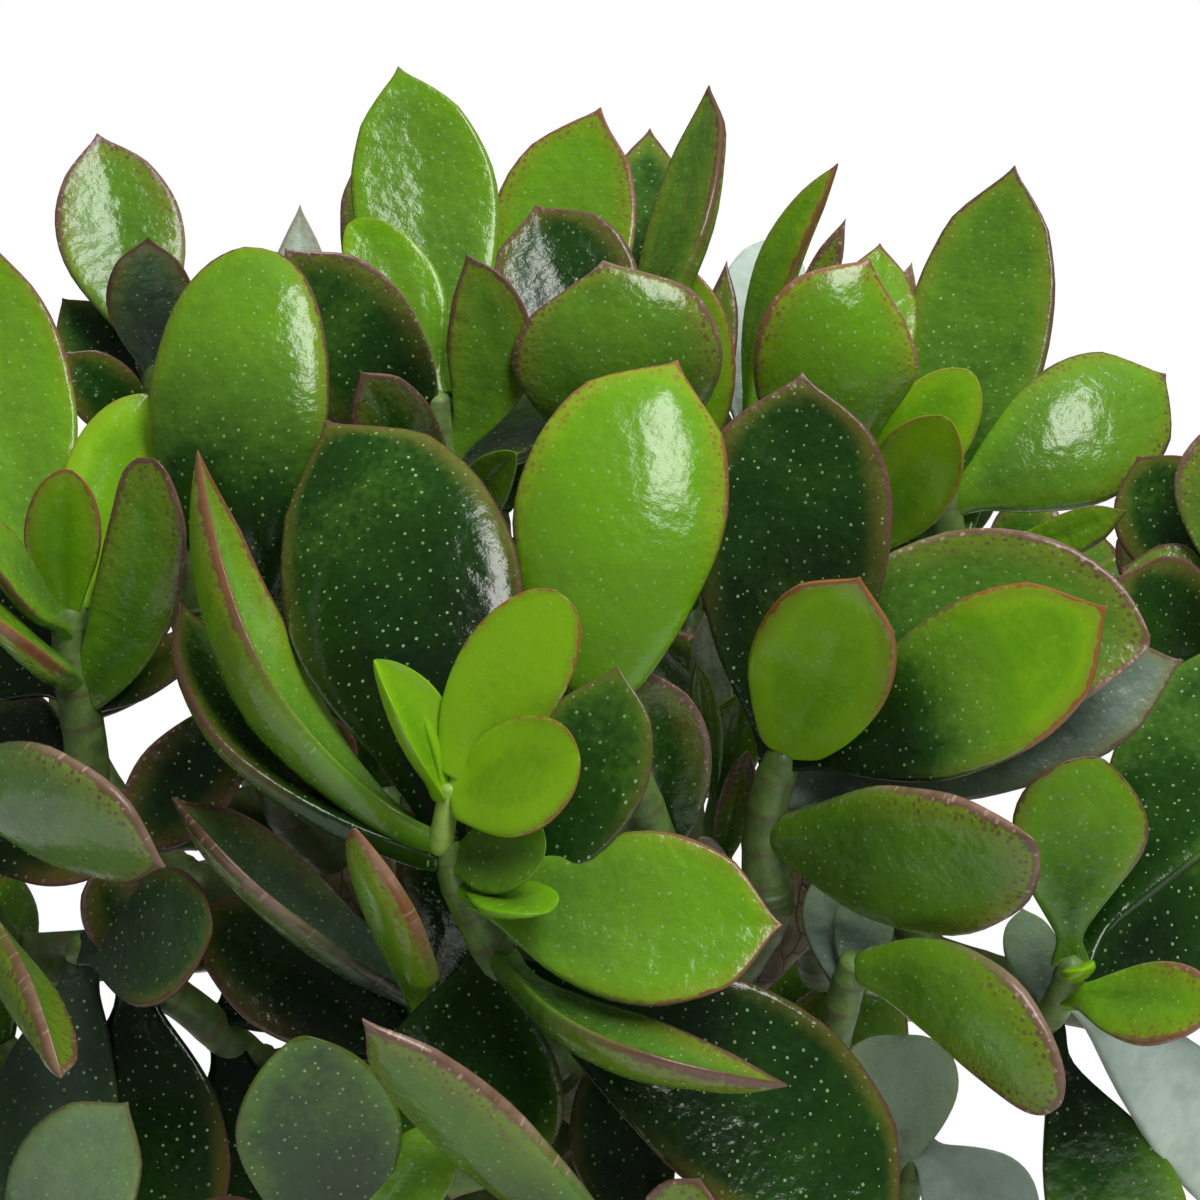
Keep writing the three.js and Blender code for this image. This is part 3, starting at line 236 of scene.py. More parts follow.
# Shoots seen in the front view.
SHOOTS = {
    "shoot_left": shoot(
        [(88, 800, 50), (85, 740, 54), (76, 690, 57), (70, 640, 60), (72, 600, 62)], (4.6, 3),
        [
            leaf(0.95, (-18, 232, 34), 27, "ovate", 0.6, sway=-3.5, bow=3, rim=0.35),
            leaf(1, (149, 395, 49), 18.5, "round", 0.85, sway=-1, rim=0.15),
            leaf(0.4, (146, 457, 80), 16, "square", 0.5, sway=5, rim=0.7),
            leaf(0.15, (-40, 745, 28), 24, "broad", 0.05),
            leaf(0.75, (68, 469, 76), 14, "round", 0.7, sway=-1, rim=0.3),
            leaf(0.8, (-28, 530, 95), 17, "broad", 0.5, face=(0.15, 0.55, 0.8), rim=0.3),
            leaf(0.55, (-24, 606, 112), 17, "broad", 0.62, face=(0.15, 0.5, 0.85), rim=0.6),
            leaf(0.5, (-70, 600, 36), 28, "broad", 0.1),
            leaf(0.38, (215, 628, 60), 9, "oval", 0.15),
            leaf(0.35, (184, 648, 42), 8, "oval", 0.2),
        ], pairs=3, turn=10,
    ),
    "shoot_upper_left": shoot(
        [(190, 600, 10), (172, 520, 12), (162, 440, 14), (157, 390, 15), (152, 350, 16)],
        (4.2, 2.8),
        [
            leaf(0.85, (97, 133, 0), 25.5, "ovate", 0.45, bow=2, face=(0.15, 0.3, 1), rim=0.85),
            leaf(0.75, (148, 237, 30), 17, "broad", 0.12, bloom=0.1, rim=0.5),
            leaf(0.55, (62, 298, 0), 15, "ovate", 0.15),
            leaf(0.45, (64, 352, 22), 14, "broad", 0.1),
        ], pairs=3, turn=52,
    ),
    "shoot_mid_left": shoot(
        [(272, 730, 46), (266, 680, 50), (260, 640, 54), (256, 600, 57)], (4.4, 3),
        [
            leaf(1, (262, 248, 54), 34, "square", 0.54, sway=3, bow=6,
                 face=(0.18, -0.3, -1), rim=0.4, root_shade=0.35),
            leaf(0.3, (128, 852, 62), 19, "broad", 0.05, face=(-0.3, 0, 1)),
            leaf(0.5, (345, 600, 32), 14, "broad", 0.02),
            leaf(0.2, (340, 800, 56), 18, "broad", 0.02),
            leaf(0.5, (204, 700, 36), 16, "broad", 0.02),
            leaf(0.5, (306, 744, 30), 16, "broad", 0.02),
        ], pairs=2, turn=68,
    ),
    "shoot_crown_left": shoot(
        [(450, 570, 15), (446, 500, 17), (441, 440, 19), (436, 390, 21)], (4.4, 2.8),
        [
            leaf(0.9, (398, 66, 2), 29, "broad", 0.52, sway=2.2, bow=3, rim=0.15),
            leaf(0.8, (356, 160, -22), 17, "ovate", 0.3),
            leaf(1, (350, 222, 14), 16, "round", 0.6, sway=3, rim=0.1),
            leaf(0.45, (285, 248, 36), 27, "broad", 0.2, rim=0.8, root_shade=0.1),
            leaf(0.5, (466, 253, 30), 17, "ovate", 0.55, sway=7, rim=0.6),
            leaf(0.2, (360, 371, 50), 17, "broad", 0.2, rim=0.7),
            leaf(0.05, (392, 437, 56), 14, "broad", 0.2, sway=1),
            leaf(0.1, (516, 453, 40), 11, "oval", 0.5, sway=-1, rim=0.1),
        ], pairs=3, turn=52,
    ),
    "shoot_crown_centre": shoot(
        [(600, 580, 10), (600, 510, 14), (598, 450, 17), (597, 400, 19)], (4.6, 3),
        [
            leaf(0.9, (601, 107, -6), 31, "broad", 0.57, sway=-8.2, bow=2,
                 face=(-0.3, 0.3, 1), rim=0.7),
            leaf(0.85, (650, 128, -25), 18, "broad", 0.2, sway=2, rim=0.4),
            leaf(0.7, (709, 85, 0), 22, "ovate", 0.45, sway=7.5, face=(-0.85, 0.1, 0.5), rim=0.5),
            leaf(1, (535, 205, 6), 29, "broad", 0.12, sway=1.5, rim=0.7),
            leaf(0.45, (603, 260, 32), 40, "full", 0.38, sway=-3, bow=7,
                 face=AWAY, rim=1.0, root_shade=0.1),
            leaf(0.15, (682, 256, 18), 21, "ovate", 0.7, sway=7, rim=0.35),
            leaf(0.2, (727, 260, 10), 10, "ovate", 0.2, sway=6, rim=0.5),
        ], pairs=3, turn=36,
    ),
    "shoot_crown_back": shoot(
        [(770, 620, -32), (758, 540, -33), (750, 470, -34), (748, 410, -34)], (4, 2.6),
        [
            leaf(1, (838, 163, -18), 11.5, "ovate", 0.65, sway=-3, bow=-4,
                 face=(-0.8, 0.1, 0.6), rim=0.3),
            leaf(0.8, (786, 232, -62), 20, "broad", 0.2, sway=-3, bloom=1, rim=0.1),
            leaf(0.75, (846, 218, -28), 8, "ovate", 0.5),
        ], pairs=3, turn=52,
    ),
    "shoot_crown_right": shoot(
        [(850, 580, 20), (853, 530, 22), (858, 480, 24), (864, 430, 26)], (4.4, 3),
        [
            leaf(0.6, (870, 258, 40), 31.5, "broad", 0.62, sway=6, bow=7,
                 face=AWAY, rim=0.9, root_shade=0.1),
            leaf(1, (880, 243, 6), 17, "ovate", 0.55, rim=0.3),
            leaf(0.9, (912, 262, -8), 7, "ovate", 0.2),
            leaf(0.35, (972, 372, 30), 17, "round", 0.7, rim=0.15),
            leaf(0.1, (948, 418, 44), 17, "round", 1.0, sway=1, rim=0.2, root_shade=0.25),
        ], pairs=2, turn=89,
    ),
    "shoot_right_upper": shoot(
        [(962, 640, 14), (955, 580, 18), (948, 520, 21), (942, 470, 23)], (4.2, 2.8),
        [
            leaf(0.45, (1015, 165, 4), 29, "broad", 0.45, sway=-2.4, bow=3,
                 face=(-0.35, 0.1, 1), rim=0.45),
            leaf(0.75, (1166, 374, 14), 29, "full", 0.52, sway=-1.5, bow=4,
                 face=(0.1, -0.16, -1), rim=0.7),
            leaf(0.3, (1128, 510, 44), 9, "broad", 0.55, rim=0.2),
        ], pairs=3, turn=89,
    ),
    "shoot_right_edge": shoot(
        [(1245, 760, 28), (1240, 700, 34), (1236, 650, 38), (1230, 600, 42)], (4.4, 3),
        [
            leaf(0.9, (1137, 456, 26), 22, "broad", 0.15, face=(-0.4, 0.1, 1), rim=0.5),
            leaf(1, (1122, 567, 36), 19, "broad", 0.4, sway=-1, rim=0.5),
            leaf(0.5, (1118, 576, 54), 24, "broad", 0.15, sway=-1, rim=0.6),
            leaf(1, (1258, 404, 40), 28, "ovate", 0.4),
            leaf(0.7, (1390, 610, 60), 28, "broad", 0.4),
        ], pairs=3, turn=52,
    ),
    "shoot_centre": shoot(
        [(668, 900, 58), (652, 830, 68), (620, 750, 79), (594, 690, 88)], (4.4, 3.2),
        [
            leaf(1, (678, 360, 76), 37, "shield", 0.64, sway=4, bow=5, face=AWAY, rim=0.75),
            leaf(0.1, (645, 668, 74), 19, "broad", 0.2, sway=1, rim=0.9),
        ], pairs=1, turn=84,
    ),
    "shoot_centre_small": shoot(
        [(724, 900, 34), (716, 830, 38), (722, 790, 40)], (3, 2.2),
        [
            leaf(1, (704, 612, 48), 8, "ovate", 0.2, bloom=1),
            leaf(0.8, (696, 660, 56), 6, "ovate", 0.4),
            leaf(0.6, (742, 690, 50), 11, "broad", 0.35, rim=0.1),
            leaf(0.2, (748, 752, 58), 7, "oval", 0.35),
            leaf(0.05, (700, 838, 54), 7, "oval", 0.3, bloom=1),
        ],
    ),
    "shoot_right_front": shoot(
        [(765, 880, 66), (765, 835, 70), (774, 785, 74), (788, 745, 77)], (4.6, 3.4),
        [
            leaf(0.75, (802, 372, 77), 35, "full", 0.08, rim=0.6),
            leaf(1, (860, 577, 112), 25, "shield", 0.9, rim=0.45),
            leaf(0.95, (1108, 606, 106), 29, "full", 0.84, sway=3, rim=0.4, root_shade=0.9),
            leaf(0.9, (1150, 644, 86), 40, "oval", 0.35, sway=-10, rim=1.0),
            leaf(0.6, (1184, 660, 70), 26, "broad", 0.1, face=(-0.1, 0, 1), bloom=0.35, rim=0.4),
            leaf(0.35, (1036, 842, 108), 30, "oval", 0.46, sway=-5.6,
                 face=(0, 0.35, -0.9), rim=1.0),
        ],
    ),
    "shoot_front": shoot(
        [(545, 1060, 76), (515, 1000, 86), (482, 930, 94), (456, 880, 99), (446, 836, 101)],
        (5, 2.4),
        [
            leaf(0.96, (325, 420, 68), 43, "broad", 0.14, sway=-5, bow=3,
                 face=(0.17, -0.05, -1), rim=0.6, root_shade=0.08),
            leaf(0.94, (198, 450, 90), 27, "ovate", 0.62, bow=14, cup=0.5,
                 face=(0.88, 0.45, 0.14), rim=0.6, root_shade=0.15),
            leaf(0.84, (178, 600, 76), 26, "ovate", 0.15, sway=-3, bow=8,
                 face=(0.75, 0.55, 0.4), rim=0.4),
            leaf(0.7, (783, 925, 106), 30, "broad", 0.68, sway=1.7, rim=0.45, root_shade=0.12),
            leaf(0.62, (618, 665, 99), 22, "broad", 0.15, sway=5, rim=0.2),
            leaf(0.85, (546, 846, 114), 14, "square", 0.42, rim=0.0),
            leaf(0.72, (549, 912, 116), 13, "round", 0.6, face=(0, 0.9, 0.4), rim=0.0),
            leaf(0.45, (452, 1200, 84), 34, "broad", 0.15, rim=0.2),
            leaf(0.36, (900, 1232, 88), 36, "broad", 0.08, sway=-5, rim=0.4),
            leaf(0.42, (788, 1085, 116), 18, "ovate", 0.35, sway=8, bow=4, cup=0.45,
                 face=(0.3, 0.85, 0.2), rim=0.6),
        ],
    ),
    "sprig_front": shoot(
        [(444, 823, 103), (448, 800, 104), (452, 782, 105)], (2.2, 1.8),
        [
            leaf(0.4, (374, 660, 112), 12, "oval", 0.72, cup=0.7, face=(0.8, 0.12, 0.55), rim=0.0),
            leaf(0.5, (396, 662, 104), 7, "oval", 0.7, face=(-0.8, 0, 0.5), rim=0.0),
            leaf(1, (566, 597, 114), 19, "square", 0.95, sway=-1, rim=0.3),
            leaf(0.5, (580, 758, 122), 20, "square", 0.9, rim=0.3),
        ],
    ),
    "shoot_far_right": shoot(
        [(960, 1000, 40), (1005, 1015, 54), (1042, 1020, 68), (1062, 995, 77), (1075, 955, 82)],
        (3.6, 2.6),
        [
            leaf(0.9, (1100, 757, 86), 24, "spoon", 0.5, sway=-2, rim=0.3, root_shade=0.15),
            leaf(0.75, (1222, 1012, 106), 16, "broad", 0.6, face=(0, 0.4, 0.9), rim=0.7),
            leaf(1, (1270, 640, 52), 31, "spoon", 0.25, face=(-0.6, 0.3, 1), rim=0.1),
            leaf(0.85, (1292, 900, 68), 28, "broad", 0.15, face=(-0.4, -0.1, 1), rim=0.1),
            leaf(0.9, (1084, 970, 92), 6, "round", 0.8, rim=0.0),
            leaf(0.5, (1150, 1300, 64), 25, "spoon", 0.35, rim=0.1, root_shade=0.3),
            leaf(0.85, (1316, 1244, 44), 22, "broad", 0.3, bloom=1, rim=0.1),
            leaf(0.55, (1022, 908, 52), 10, "ovate", 0.2, bloom=0.3, rim=0.1),
        ], pairs=2, turn=15,
    ),
    "shoot_low_right": shoot(
        [(806, 1110, 62), (832, 1040, 70), (848, 985, 76), (858, 955, 80)], (3.8, 2.8),
        [
            leaf(1, (1052, 1112, 104), 20, "square", 0.54, sway=6.5,
                 face=(0.1, 0.4, -0.9), rim=1.0),
            leaf(0.6, (820, 876, 56), 10, "oval", 0.2, bloom=0.35, rim=0.1),
            leaf(0.7, (874, 884, 60), 11, "oval", 0.2, bloom=0.3, rim=0.1),
        ],
    ),
    "shoot_low_back": shoot(
        [(872, 1265, 4), (896, 1220, 7), (910, 1170, 9), (916, 1120, 9)], (3.8, 2.8),
        [
            leaf(0.3, (898, 1034, 18), 24, "wedge", 0.35, bloom=0.4, rim=0.1),
            leaf(0.85, (1030, 1250, 26), 22, "broad", 0.3, bloom=1, rim=0.1),
        ], pairs=2, turn=68,
    ),
    "shoot_low_left": shoot(
        [(352, 1320, 88), (350, 1290, 92), (347, 1255, 96), (345, 1235, 98)], (4, 3),
        [
            leaf(0.1, (300, 1036, 108), 28, "spoon", 0.2, face=(0.1, 0.05, 1), rim=0.12),
            leaf(0.6, (450, 1130, 101), 13, "round", 0.5, rim=0.1),
            leaf(0.3, (150, 1250, 70), 24, "broad", 0.1),
        ], pairs=1, turn=68,
    ),
    "shoot_low_front": shoot(
        [(636, 1268, 68), (646, 1284, 80), (652, 1288, 92), (650, 1272, 101)], (4, 3),
        [
            leaf(0.9, (362, 1018, 124), 21, "broad", 0.38, sway=3, face=(0.3, 0.7, -0.6), rim=0.9),
            leaf(0.5, (604, 1048, 81), 18, "broad", 0.02),
            leaf(1, (700, 1178, 104), 14, "broad", 0.5, rim=0.9),
            leaf(0.5, (860, 1330, 110), 26, "broad", 0.2),
        ], pairs=1, turn=15,
    ),
    "shoot_lower_left": shoot(
        [(448, 1120, 56), (440, 1065, 63), (430, 1020, 70), (422, 990, 74)], (3.8, 2.8),
        [
            leaf(0.85, (172, 797, 84), 20, "broad", 0.2, sway=-2, bow=2, cup=0.45,
                 face=(0.65, 0.65, 0.3), bloom=0.1, rim=0.8),
            leaf(0.8, (357, 830, 126), 17, "oval", 0.75, face=(0.5, -0.1, -0.8), rim=0.9),
            leaf(0.3, (196, 905, 58), 24, "broad", 0.02, face=(0.1, 0.2, 1)),
            leaf(0.7, (480, 745, 62), 22, "broad", 0.02),
        ], pairs=1, turn=52,
    ),
    "shoot_west": shoot(
        [(-6, 935, 46), (-40, 880, 54), (-64, 820, 62), (-72, 775, 66)], (4.4, 3),
        [
            leaf(0.95, (166, 867, 96), 26, "broad", 0.42, sway=4,
                 face=(0, 0.5, -0.85), bloom=0.12, rim=0.9),
            leaf(0.35, (62, 1078, 108), 18, "ovate", 0.6, sway=-1, cup=0.45,
                 face=(0.9, 0.35, 0.2), rim=0.8),
            leaf(0.5, (128, 852, 64), 13, "broad", 0.02),
            leaf(1, (-250, 600, 60), 28, "broad", 0.4),
            leaf(0.7, (-300, 840, 90), 26, "broad", 0.4),
        ], pairs=2, turn=10,
    ),
    "shoot_low_edge": shoot(
        [(62, 1330, 30), (34, 1322, 42), (12, 1308, 54), (2, 1286, 64)], (3.8, 2.8),
        [
            leaf(0.9, (128, 1102, 84), 24, "broad", 0.35, bloom=0.2, rim=0.2),
            leaf(0.7, (-170, 1200, 84), 26, "broad", 0.3),
            leaf(0.5, (-60, 1500, 96), 26, "broad", 0.3),
        ], pairs=2, turn=68,
    ),
    "shoot_low_west": shoot(
        [(250, 1060, 36), (180, 1000, 48), (110, 962, 54), (66, 945, 57)], (4.4, 2.8),
        [
            leaf(0.98, (212, 930, 86), 25, "round", 0.12, bloom=0.06, rim=0.3),
            leaf(0.45, (94, 866, 74), 13, "broad", 0.05),
            leaf(0.85, (30, 1240, 62), 24, "broad", 0.1, bloom=0.06, rim=0.1),
            leaf(0.55, (150, 1290, 60), 32, "broad", 0.02),
            leaf(0.12, (280, 1300, 46), 30, "broad", 0.02),
            leaf(0.2, (300, 972, 44), 16, "broad", 0.02),
        ], pairs=2, turn=68,
    ),
}

# Shoots inside the crown, at the back and at the sides.
BACK_SHOOTS = {
    "shoot_inner_left": back_shoot(
        [(-43, -2, 216), (-44, 6, 233), (-46, 12, 250)], turn=70, reach=50, thick=(4.2, 2.8)
    ),
    "shoot_inner_right": back_shoot(
        [(39, 8, 214), (43, 14, 234), (46, 18, 252)], turn=5, reach=50, thick=(4.2, 2.8)
    ),
    "shoot_inner_middle": back_shoot(
        [(-2, -30, 196), (-4, -34, 214), (-4, -36, 230)], turn=35, reach=44, thick=(4, 2.8), pairs=2
    ),
    "shoot_back_left_high": back_shoot(
        [(-54, 44, 246), (-60, 50, 268), (-66, 55, 290)], turn=20,
        leaves=[leaf(1, (300, 204, -62), 15, "ovate", 0.2, bloom=1)],
    ),
    "shoot_back_mid_left": back_shoot([(-20, 46, 258), (-22, 54, 280), (-24, 60, 300)], turn=60),
    "shoot_back_mid_right": back_shoot([(16, 62, 244), (20, 70, 266), (24, 76, 288)], turn=10),
    "shoot_back_right_high": back_shoot(
        [(74, 40, 230), (84, 48, 248), (92, 54, 266)], turn=40, reach=52
    ),
    "shoot_back_left": back_shoot(
        [(-90, 34, 214), (-102, 42, 226), (-112, 48, 242)], turn=75, reach=52
    ),
    "shoot_rear_centre": back_shoot([(0, 84, 218), (0, 98, 232), (0, 110, 250)], turn=30),
    "shoot_rear_left": back_shoot([(-50, 78, 196), (-62, 92, 204), (-72, 104, 218)], turn=15),
    "shoot_rear_right": back_shoot([(52, 78, 190), (62, 92, 198), (70, 104, 212)], turn=50),
    "shoot_side_right": back_shoot(
        [(110, 16, 190), (124, 20, 200), (136, 23, 214)], turn=25, reach=50
    ),
    "shoot_side_left": back_shoot(
        [(-104, 6, 168), (-118, 10, 176), (-129, 12, 188)], turn=65, reach=50
    ),
    "shoot_rear_low_left": back_shoot(
        [(-28, 82, 156), (-38, 96, 160), (-46, 108, 170)], turn=35, reach=46, thick=(4, 2.8)
    ),
    "shoot_rear_low_right": back_shoot(
        [(26, 80, 150), (34, 94, 154), (42, 106, 164)], turn=80, reach=46, thick=(4, 2.8)
    ),
}

# The canopy's upper edge in the front view, and the openings through it: across, down, wide.
SKYLINE = [
    (-300, 420), (-60, 330), (0, 270), (40, 340), (66, 290), (100, 180), (160, 200), (200, 270),
    (330, 270), (372, 120), (430, 120), (500, 250), (560, 150), (700, 150), (745, 290), (840, 260),
    (900, 280), (940, 230), (1040, 230), (1056, 380), (1160, 392), (1200, 460), (1300, 470),
    (1500, 560),
]
OPENINGS = [
    (150, 725, 48), (320, 835, 18), (65, 895, 28), (745, 845, 22), (630, 825, 14),
    (990, 1050, 50), (1000, 1165, 40), (1115, 925, 24), (1115, 1060, 22), (1005, 805, 18),
    (240, 1000, 16), (318, 1034, 12), (38, 720, 18),
]

# Woody limbs from the fork, then a twig from a limb to the foot of each shoot; millimetres.
LIMBS = {
    "left": ([(-1, -2, 166), (-20, -6, 188), (-42, -14, 210), (-60, -22, 230)], (9.5, 6.4)),
    "centre": ([(0, 2, 166), (-5, 5, 200), (-8, 3, 232), (-5, -2, 252)], (8.6, 5.2)),
    "right": ([(1, -1, 166), (20, -4, 190), (42, -8, 212), (60, -12, 232)], (9, 6)),
    "front": ([(0, -4, 164), (1, -28, 174), (0, -50, 178), (-4, -66, 181)], (8.4, 5.6)),
    "back_left": ([(-1, 3, 166), (-14, 26, 184), (-32, 44, 200), (-46, 54, 214)], (8.4, 5.6)),
    "back_right": ([(1, 3, 166), (14, 28, 182), (32, 48, 196), (46, 58, 208)], (8.4, 5.6)),
    "low": ([(0, 2, 150), (4, 26, 152), (2, 50, 154), (-2, 64, 158)], (6.6, 5)),
}
TWIGS = {
    "shoot_left": [(-60, -22, 230), (-78, -38, 228)],
    "shoot_upper_left": [(-58, -21, 228), (-73, -16, 250)],
    "shoot_mid_left": [(-50, -18, 219), (-58, -36, 230)],
    "shoot_crown_left": [(-8, 3, 230), (-21, -7, 254)],
    "shoot_crown_centre": [(-6, 0, 246), (-2, -6, 260)],
    "shoot_crown_back": [(-6, 5, 214), (16, 22, 236)],
    "shoot_crown_right": [(58, -12, 230), (52, -18, 254)],
    "shoot_right_upper": [(58, -12, 230), (66, -13, 246)],
    "shoot_right_edge": [(50, -10, 222), (90, -20, 222)],
    "shoot_centre": [(1, -36, 176), (8, -50, 196)],
    "shoot_centre_small": [(16, -4, 188), (20, -22, 200)],
    "shoot_right_front": [(0, -48, 178), (19, -62, 198)],
    "shoot_front": [(-2, -60, 180), (-6, -70, 184)],
    "shoot_far_right": [(50, -10, 222), (60, -24, 208)],
    "shoot_low_right": [(1, -42, 177), (22, -55, 170)],
    "shoot_low_back": [(0, 0, 148), (28, -2, 142)],
    "shoot_low_left": [(0, -44, 177), (-24, -64, 158), (-37, -79, 147)],
    "shoot_low_front": [(-1, -54, 179), (3, -61, 160)],
    "shoot_lower_left": [(0, -32, 175), (-16, -46, 171)],
    "shoot_west": [(-38, -12, 207), (-80, -30, 204)],
    "shoot_low_edge": [(0, -2, 152), (-48, -14, 148), (-84, -24, 136)],
    "shoot_low_west": [(-16, -5, 184), (-44, -24, 184)],
    "shoot_inner_left": [(-30, -9, 198), (-39, -6, 206)],
    "shoot_inner_right": [(26, -5, 196), (36, 2, 204)],
    "shoot_inner_middle": [(1, -22, 172), (-1, -28, 186)],
    "shoot_back_left_high": [(-44, 52, 212), (-50, 44, 230)],
    "shoot_back_mid_left": [(-10, 22, 180), (-16, 38, 230)],
    "shoot_back_mid_right": [(28, 44, 193), (18, 54, 222)],
    "shoot_back_right_high": [(44, 57, 206), (62, 42, 216)],
    "shoot_back_left": [(-42, 50, 209), (-72, 40, 208)],
    "shoot_rear_centre": [(-12, 24, 182), (-2, 66, 204)],
    "shoot_rear_left": [(-44, 52, 212), (-48, 66, 200)],
    "shoot_rear_right": [(44, 57, 206), (48, 68, 194)],
    "shoot_side_right": [(38, -7, 208), (84, 8, 192)],
    "shoot_side_left": [(-18, -6, 186), (-70, -4, 168)],
    "shoot_rear_low_left": [(0, 58, 156), (-18, 72, 154)],
    "shoot_rear_low_right": [(0, 58, 156), (16, 70, 150)],
}

# Meshes: faces round and along each leaf and bar, and the finer forms of the leaves and wood,
# in millimetres.
LEAF_AROUND = 32
LEAF_ALONG = 28
STEM_FACES = (18, 40)
TWIG_FACES = (16, 48)
LIMB_FACES = (20, 60)
TRUNK_FACES = (32, 40)
TINY = 1e-6
GROWN_TONE = 0.3
TONE_CHANCE = 0.08
GROOVE_WIDTH = 0.12
GROOVE_DEPTH = 0.35
EDGE_WAVE = 0.012
PATTERN_SPREAD = 100
UNEVEN_SCALE = 0.09
UNEVEN_DEPTH = 0.45
TIP_BAND = 0.35
DOT_SPACING = 2.8
DOT_SIZE = 0.2
SPECK_SPACING = 1.5
SPECK_SIZE = 0.3
CRUST_DOT_SPACING = 1.9
CRUST_DOT_SIZE = 0.26
WRINKLE_SCALE = 0.42
RIPPLE_SCALE = 0.16
EDGE_THINNING = 0.6
TIP_OUT = 0.008
TIP_REACH = 0.012
CORNER_FROM = 0.86
CORNERED = ("ovate", "broad", "full", "shield")
# How far up from a leaf's root the painted shade reaches, and how it fades out.
ROOT_SHADE_REACH = 0.72
ROOT_SHADE_CURVE = 1.8
RIM_LEAST = 0.15
YOUNG_RIM = 0.6
YOUNG_DOTS = 0.3
YOUNG_BRIGHTER = 0.05
CLASP_REACH = 0.13
CLASP_SHARE = 0.16
CLASP_MOST = 3.4
CLASP_THICK = 3.4
STEM_SUNK = 6
YOUNG_SHOOT = "sprig_front"
YOUNG_STEM = 0.9
OLD_STEM = 0.42
TWIG_TONE = 0.2
LEAF_SEED = 31
LEAF_SEED_STEP = 977
STEM_RING_SPACING = 6
STEM_RING_DEPTH = 0.05
BARK_RING_SPACING = 8
BARK_RING_DEPTH = 0.06
RING_SHARPNESS = 0.012
WOOD_VOXEL = 1.1
EASE_SHARE = 0.5
EASE_ROUNDS = 4

# A direction that no stem follows, to turn round a bar's middle line.
SLANT = (0.31, 0.87, 0.12)

# Pot and soil meshes.
SOIL_SKIN = 6
POT_STEPS = 128
POT_ROUNDING = (2, 1.5, 1.5, 2, 2, 4, 3)
ARC_STEPS = 5
DRAIN_SIDES = 32
HEAP_STEPS = 14
FLAT_STEPS = 18
SOIL_ROUGH_SCALE = 0.12
SOIL_ROUGH_DEPTH = 1.1
SOIL_CALM_EDGE = 3
GRIT_COUNT = 700
GRIT_SEED = 4211
GRIT_MARGIN = 3
GRIT_LEAST = 0.8
GRIT_MORE = 2.2
GRIT_RAISED = 0.25

# The stage, in metres: the lights' places and sides and what they look at, and the camera's
# sensor in millimetres.
CANOPY = (0, -0.02, 0.27)
WINDOW_PLACE = (0.36, -0.94, 1.11)
WINDOW_SIDES = (0.45, 0.75)
WINDOW_TINT = (1.0, 0.985, 0.96)
CEILING_PLACE = (0.25, -0.1, 1.4)
CEILING_SIDES = (1.2, 1.2)
WHITE = (1, 1, 1)
FLOOR_BELOW = 0.0002
SENSOR_WIDTH = 36


def leaf_frame(row):
    """The chord, upper side, side and length of a leaf."""
    chord = row["tip"] - row["root"]
    length = float(np.linalg.norm(chord))
    chord = chord / length
    up = unit(row["face"] - chord * np.dot(row["face"], chord))
    return chord, up, np.cross(chord, up), length


def half_width(row, t):
    """Half a leaf's width at places t from its root (0) to its tip (1)."""
    shift, base, tip = FORMS[row["form"]]
    return row["wide"] / 2 * np.maximum(0, np.sin(np.pi * t**shift)) ** (base + (tip - base) * t)


def leaf_points(row, t, across, above, half=None):
    """Places on a leaf: t runs from root to tip, across from -1 to 1, above is mm off the
    blade and half is the blade's half width. All are arrays of one length."""
    chord, up, side, length = leaf_frame(row)
    arch = (4 * t * (1 - t))[:, None]
    slope = (4 * (1 - 2 * t))[:, None]
    middle = row["root"] + chord * length * t[:, None]
    middle = middle - up * row["bow"] * arch + side * row["sway"] * arch
    along = chord * length - up * row["bow"] * slope + side * row["sway"] * slope
    along /= np.linalg.norm(along, axis=1)[:, None]
    upward = up - along * (along @ up)[:, None]
    upward /= np.linalg.norm(upward, axis=1)[:, None]
    sideways = np.cross(along, upward)
    half = half_width(row, t) if half is None else half
    cup = row["cup"] * half * across**2 + above
    return middle + sideways * (half * across)[:, None] + upward * cup[:, None]


def chance(seed):
    """A steady stream of chance numbers from 0 to 1."""
    state = seed
    while True:
        state = (state * CHANCE_TIMES + CHANCE_PLUS) % CHANCE_STEPS
        yield state / CHANCE_STEPS


def spread(row, start):
    """Points spread over a leaf's blade, from a share of its length on."""
    along = start + (1 - start) * np.arange(SPREAD_STEPS + 1) / SPREAD_STEPS
    t = np.repeat(along, len(SPREAD_ACROSS))
    across = np.tile(SPREAD_ACROSS, len(along))
    return leaf_points(row, np.minimum(t, 1), across, np.zeros(len(t)))


def hidden_in_view(points):
    """Whether all points keep under the skyline and out of the openings of the front view."""
    scale = VIEW_STEP * (EYE_DISTANCE + points[:, 1]) / EYE_DISTANCE
    across = VIEW_MIDDLE + points[:, 0] / scale
    down = VIEW_MIDDLE - (points[:, 2] - VIEW_HEIGHT) / scale
    sky = np.array(SKYLINE, float)
    if np.any(down < np.interp(across, sky[:, 0], sky[:, 1]) + SKY_MARGIN):
        return False
    return all(np.all(np.hypot(across - x, down - y) > wide) for x, y, wide in OPENINGS)


